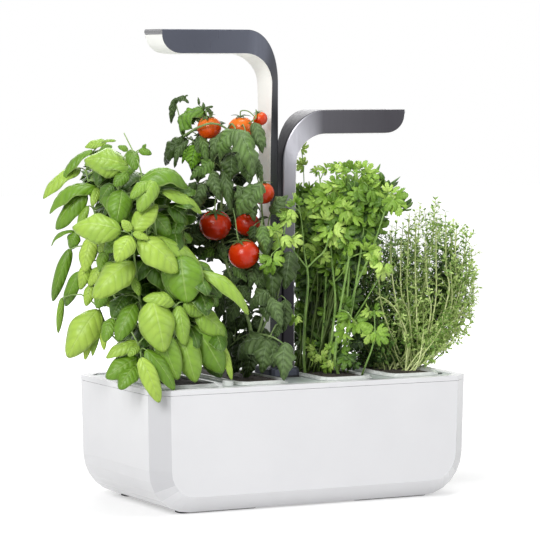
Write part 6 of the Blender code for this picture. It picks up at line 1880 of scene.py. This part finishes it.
def thyme_shoot(bm, shade, stalks, path, kind, chance):
    """A fine stalk with leaf pairs and short leafy twigs."""
    tones, bare_share, thick, thin, gap = THYME_KINDS[kind]
    tone = chance.uniform(*tones)
    stalks.add(path, fading(thick, thin, len(path)), 5)
    places = thyme_pairs(bm, shade, path, tone, chance, bare_share, gap, THYME_LEAF)
    for place, out, ahead in places[:-TWIG_FREE_END]:
        if chance.random() < TWIG_SHARE:
            length = chance.uniform(*TWIG_LENGTHS)
            tip = place + (out + ahead * chance.uniform(*TWIG_LEANS)).normalized() * length
            twig = [place, place.lerp(tip, 0.5) + out * length * TWIG_BOW_SHARE, tip]
            stalks.add(twig, TWIG_RADII, 4)
            thyme_pairs(bm, shade, twig, tone + chance.uniform(*TWIG_TONES), chance, TWIG_BARE_SHARE,
                        THYME_GAP * TWIG_GAP_SHARE, TWIG_LEAF)


def thyme_skin():
    """The thyme leaves' look: their own tone with blotches."""
    look = Nodes("thyme_leaf")
    blotch = look.noise(150, 3)
    mixed = look.plus(look.stored("tint"), look.times(look.minus(blotch, 0.5), 0.4))
    look.set(Base_Color=look.ramp(mixed, *THYME_TONES), Roughness=look.span(blotch, 0.5, 0.68))
    look.bump(look.noise(1200, 2), THYME_GRAIN, 0.4)
    return look.material


def thyme_tops(chance):
    """Column, row and layer of each shoot's top; the outer ones, from the table, have no layer."""
    shoots = [(u, v, None) for u, v in THYME_TOPS]
    left, right = THYME_COLUMNS
    for index in range(THYME_INNER):
        share = index / (THYME_INNER - 1)
        shoots.append((left + (right - left) * share, chance.uniform(*THYME_ROWS), index % 3))
    return shoots


def shoot_top(u, v, depths, chance):
    """A place at a pixel, at a depth by chance, that lies over the thyme's solid, or None."""
    low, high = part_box("thyme_plant")
    for _ in range(TOP_TRIES):
        y = chance.uniform(*depths)
        top = seen(u + chance.uniform(-TOP_STRAY, TOP_STRAY), v, y)
        if low.x - TOP_SLACK < top.x < high.x + TOP_SLACK and low.y < top.y < high.y:
            return top
    return None


def shoot_path(foot, top, chance):
    """A path that goes outwards first and then rises, swaying a little."""
    places = [foot]
    for share, out in THYME_SPREAD_SHARES:
        place = foot.lerp(top, share)
        place.x = foot.x + (top.x - foot.x) * out + chance.uniform(-THYME_SWAY, THYME_SWAY) * MM
        place.y = foot.y + (top.y - foot.y) * out + chance.uniform(-THYME_SWAY, THYME_SWAY) * MM
        places.append(place)
    return curve(places + [top], 5)


def thyme():
    """Thyme: fine shoots with pairs of tiny leaves."""
    skin = thyme_skin()
    stem = stalk_look("thyme_stalk", (0.42, 0.52, 0.15), (0.78, 0.84, 0.44))
    # Darker stalks for the inner and shaded shoots: painted shade
    middling_stem = stalk_look("thyme_inner_stalk", (0.12, 0.17, 0.04), (0.30, 0.36, 0.12))
    # Dark stalks of the low branches, and of a third of the inner shoots, where the dark is painted shade
    dark_stem = stalk_look("thyme_wood_and_shade", (0.020, 0.022, 0.010), (0.10, 0.11, 0.05))
    stalks = Stalks()
    woody_and_shaded = Stalks()
    middling = Stalks()
    bm = bmesh.new()
    shade = bm.verts.layers.float_color.new("tint")
    chance = random.Random(71)
    for rows, kind, group in ((THYME_STEMS, "front", stalks), (THYME_BRANCHES, "branch", woody_and_shaded)):
        for row in rows:
            path = curve([seen(*point) for point in row], 5)
            thyme_shoot(bm, shade, group, path, kind, chance)
    middle = crown("thyme")
    for u, v, layer in thyme_tops(chance):
        top = shoot_top(u, v, OUTER_DEPTHS if layer is None else INNER_DEPTHS, chance)
        if top is None:
            continue
        foot = middle + level(chance, *OUTER_FEET)
        if layer is not None:
            foot = middle + level(chance, *INNER_FEET)
            kind, group = "inner", woody_and_shaded if layer == 1 else middling
        elif u < THYME_SHADE_COLUMN:
            kind, group = "shaded", middling
        else:
            kind, group = "outer", stalks
        thyme_shoot(bm, shade, group, shoot_path(foot, top, chance), kind, chance)
    bmesh.ops.recalc_face_normals(bm, faces=bm.faces)
    piece = add_object("thyme_leaves", bm, skin, "cup_thyme", False)
    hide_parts("thyme_plant")
    stalks.build("thyme_stalks", stem, "cup_thyme")
    middling.build("thyme_inner_stalks", middling_stem, "cup_thyme")
    woody_and_shaded.build("thyme_wood_and_shade", dark_stem, "cup_thyme")


# The soil's top: how squarely a face looks up to belong to it, the longest edge of its grains and how often
# they are cut, its crumbs' fineness, the rim that stays level, and the crumbs' height and mean drop
SOIL_TOP_LEAST = 0.7
WELD_GAP = 0.00001
GRAIN_EDGE = 0.0022
GRAIN_ROUNDS = 3
TOP_BAND = 0.0004
CRUMB_SCALES = (260, 700)
LEVEL_RIM = 0.004
CRUMB_HEIGHT = 0.0013
CRUMB_DROP = 0.0006


def soil_top(bm):
    return [face for face in bm.faces if face.normal.z > SOIL_TOP_LEAST]


def soils():
    """Damp growing medium: a crumbly top in each cup, in place of its plain solid."""
    look = speckled("growing_medium", (0.006, 0.004, 0.003), (0.045, 0.030, 0.020), 420, 0.9, SOIL_GRAIN)
    coarse, fine = CRUMB_SCALES
    for index, name in enumerate(CUPS):
        low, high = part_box("soil_" + name)
        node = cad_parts["soil_" + name]
        bm = bmesh.new()
        bm.from_mesh(node.data)
        bmesh.ops.remove_doubles(bm, verts=bm.verts, dist=WELD_GAP)
        edges = list({edge for face in soil_top(bm) for edge in face.edges})
        bmesh.ops.subdivide_edges(bm, edges=edges, cuts=1)
        faces = bmesh.ops.triangulate(bm, faces=soil_top(bm))["faces"]
        for _ in range(GRAIN_ROUNDS):
            edges = list({edge for face in faces for edge in face.edges if edge.calc_length() > GRAIN_EDGE})
            bmesh.ops.subdivide_edges(bm, edges=edges, cuts=1, use_grid_fill=False)
            faces = bmesh.ops.triangulate(bm, faces=soil_top(bm))["faces"]
        for vert in bm.verts:
            if vert.co.z > high.z - TOP_BAND:
                rim = min(vert.co.x - low.x, high.x - vert.co.x, vert.co.y - low.y, high.y - vert.co.y)
                lump = noise.noise(vert.co * coarse + Vector((index, 0, 0)))
                lump += 0.5 * noise.noise(vert.co * fine)
                vert.co.z += smooth(rim / LEVEL_RIM) * (lump * CRUMB_HEIGHT - CRUMB_DROP)
        piece = add_object("medium_" + name, bm, look, "cup_" + name, False)
        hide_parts("soil_" + name)


def shown_rays(tree):
    """1 for the rays that show a background: straight ones, mirrored ones and those through glass."""
    paths = tree.nodes.new("ShaderNodeLightPath")
    shown = paths.outputs["Is Camera Ray"]
    for kind in ("Is Glossy Ray", "Is Transmission Ray"):
        either = tree.nodes.new("ShaderNodeMath")
        either.operation = "MAXIMUM"
        tree.links.new(shown, either.inputs[0])
        tree.links.new(paths.outputs[kind], either.inputs[1])
        shown = either.outputs[0]
    return shown


WORLD_LIGHT = 0.22
# The floor: half its width, its grey, its glow at the object and how far away that reaches full white
FLOOR_REACH = 6.0
FLOOR_SEGMENTS = 8
FLOOR_GREY = (0.62, 0.62, 0.62, 1)
FLOOR_GLOW = 0.46
FLOOR_FADE = (0.35, 1.2)
# Lamps: name, place, size and power
LAMPS = (
    ("key", (-1.7, -1.3, 1.3), (1.1, 1.1), 44),
    ("fill", (1.6, -1.5, 0.9), (1.6, 1.6), 13),
    ("top", (0.1, -0.1, 2.3), (1.1, 1.1), 28),
    ("back", (0.7, 1.8, 1.2), (1.6, 1.2), 16),
)


def studio():
    """Plain floor, soft lamps and the picture's camera."""
    scene = bpy.context.scene
    scene.view_settings.view_transform = "Standard"
    world = bpy.data.worlds.new("studio")
    scene.world = world
    world.use_nodes = True
    tree = world.node_tree
    background = tree.nodes["Background"]
    strength = tree.nodes.new("ShaderNodeMapRange")
    strength.inputs["To Min"].default_value = WORLD_LIGHT
    strength.inputs["To Max"].default_value = 1.0
    tree.links.new(shown_rays(tree), strength.inputs["Value"])
    tree.links.new(strength.outputs["Result"], background.inputs["Strength"])
    background.inputs["Color"].default_value = WHITE

    bm = bmesh.new()
    bmesh.ops.create_grid(bm, x_segments=FLOOR_SEGMENTS, y_segments=FLOOR_SEGMENTS, size=FLOOR_REACH)
    mesh = bpy.data.meshes.new("floor")
    bm.to_mesh(mesh)
    bm.free()
    ground = Nodes("floor_white")
    away = ground.add("ShaderNodeVectorMath", {0: ground.coordinates()}, operation="LENGTH").outputs["Value"]
    glow = ground.span(away, FLOOR_GLOW, 1.0, *FLOOR_FADE)
    ground.set(Base_Color=FLOOR_GREY, Roughness=0.9, Specular_IOR_Level=0.0, Emission_Color=WHITE,
               Emission_Strength=ground.times(glow, shown_rays(ground.tree)))
    mesh.materials.append(ground.material)
    linked("floor", mesh)

    for name, place, size, power in LAMPS:
        light = bpy.data.lights.new(name, "AREA")
        light.shape = "RECTANGLE"
        light.size, light.size_y = size
        light.energy = power
        aim(linked(name, light), Vector(place))

    data = bpy.data.cameras.new("camera")
    data.sensor_width = SENSOR_MM
    data.lens = FOCAL_PIXELS / PICTURE_SIZE * SENSOR_MM
    data.clip_start, data.clip_end = CLIP_RANGE
    scene.camera = linked("camera", data)
    aim(scene.camera, CAMERA_PLACE)


def aim(thing, place):
    """Stand a light or a camera at a place, looking at the object's middle."""
    thing.location = place
    thing.rotation_euler = (CAMERA_TARGET - place).to_track_quat("-Z", "Y").to_euler()


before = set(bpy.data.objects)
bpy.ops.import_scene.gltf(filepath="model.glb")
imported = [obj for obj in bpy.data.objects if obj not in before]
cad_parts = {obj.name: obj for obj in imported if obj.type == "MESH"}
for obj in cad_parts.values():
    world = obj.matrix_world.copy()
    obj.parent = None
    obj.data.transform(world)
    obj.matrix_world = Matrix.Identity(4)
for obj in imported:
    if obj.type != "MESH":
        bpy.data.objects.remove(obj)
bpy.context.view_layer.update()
studio()
hardware_looks()
soils()
basil()
tomato()
parsley()
thyme()
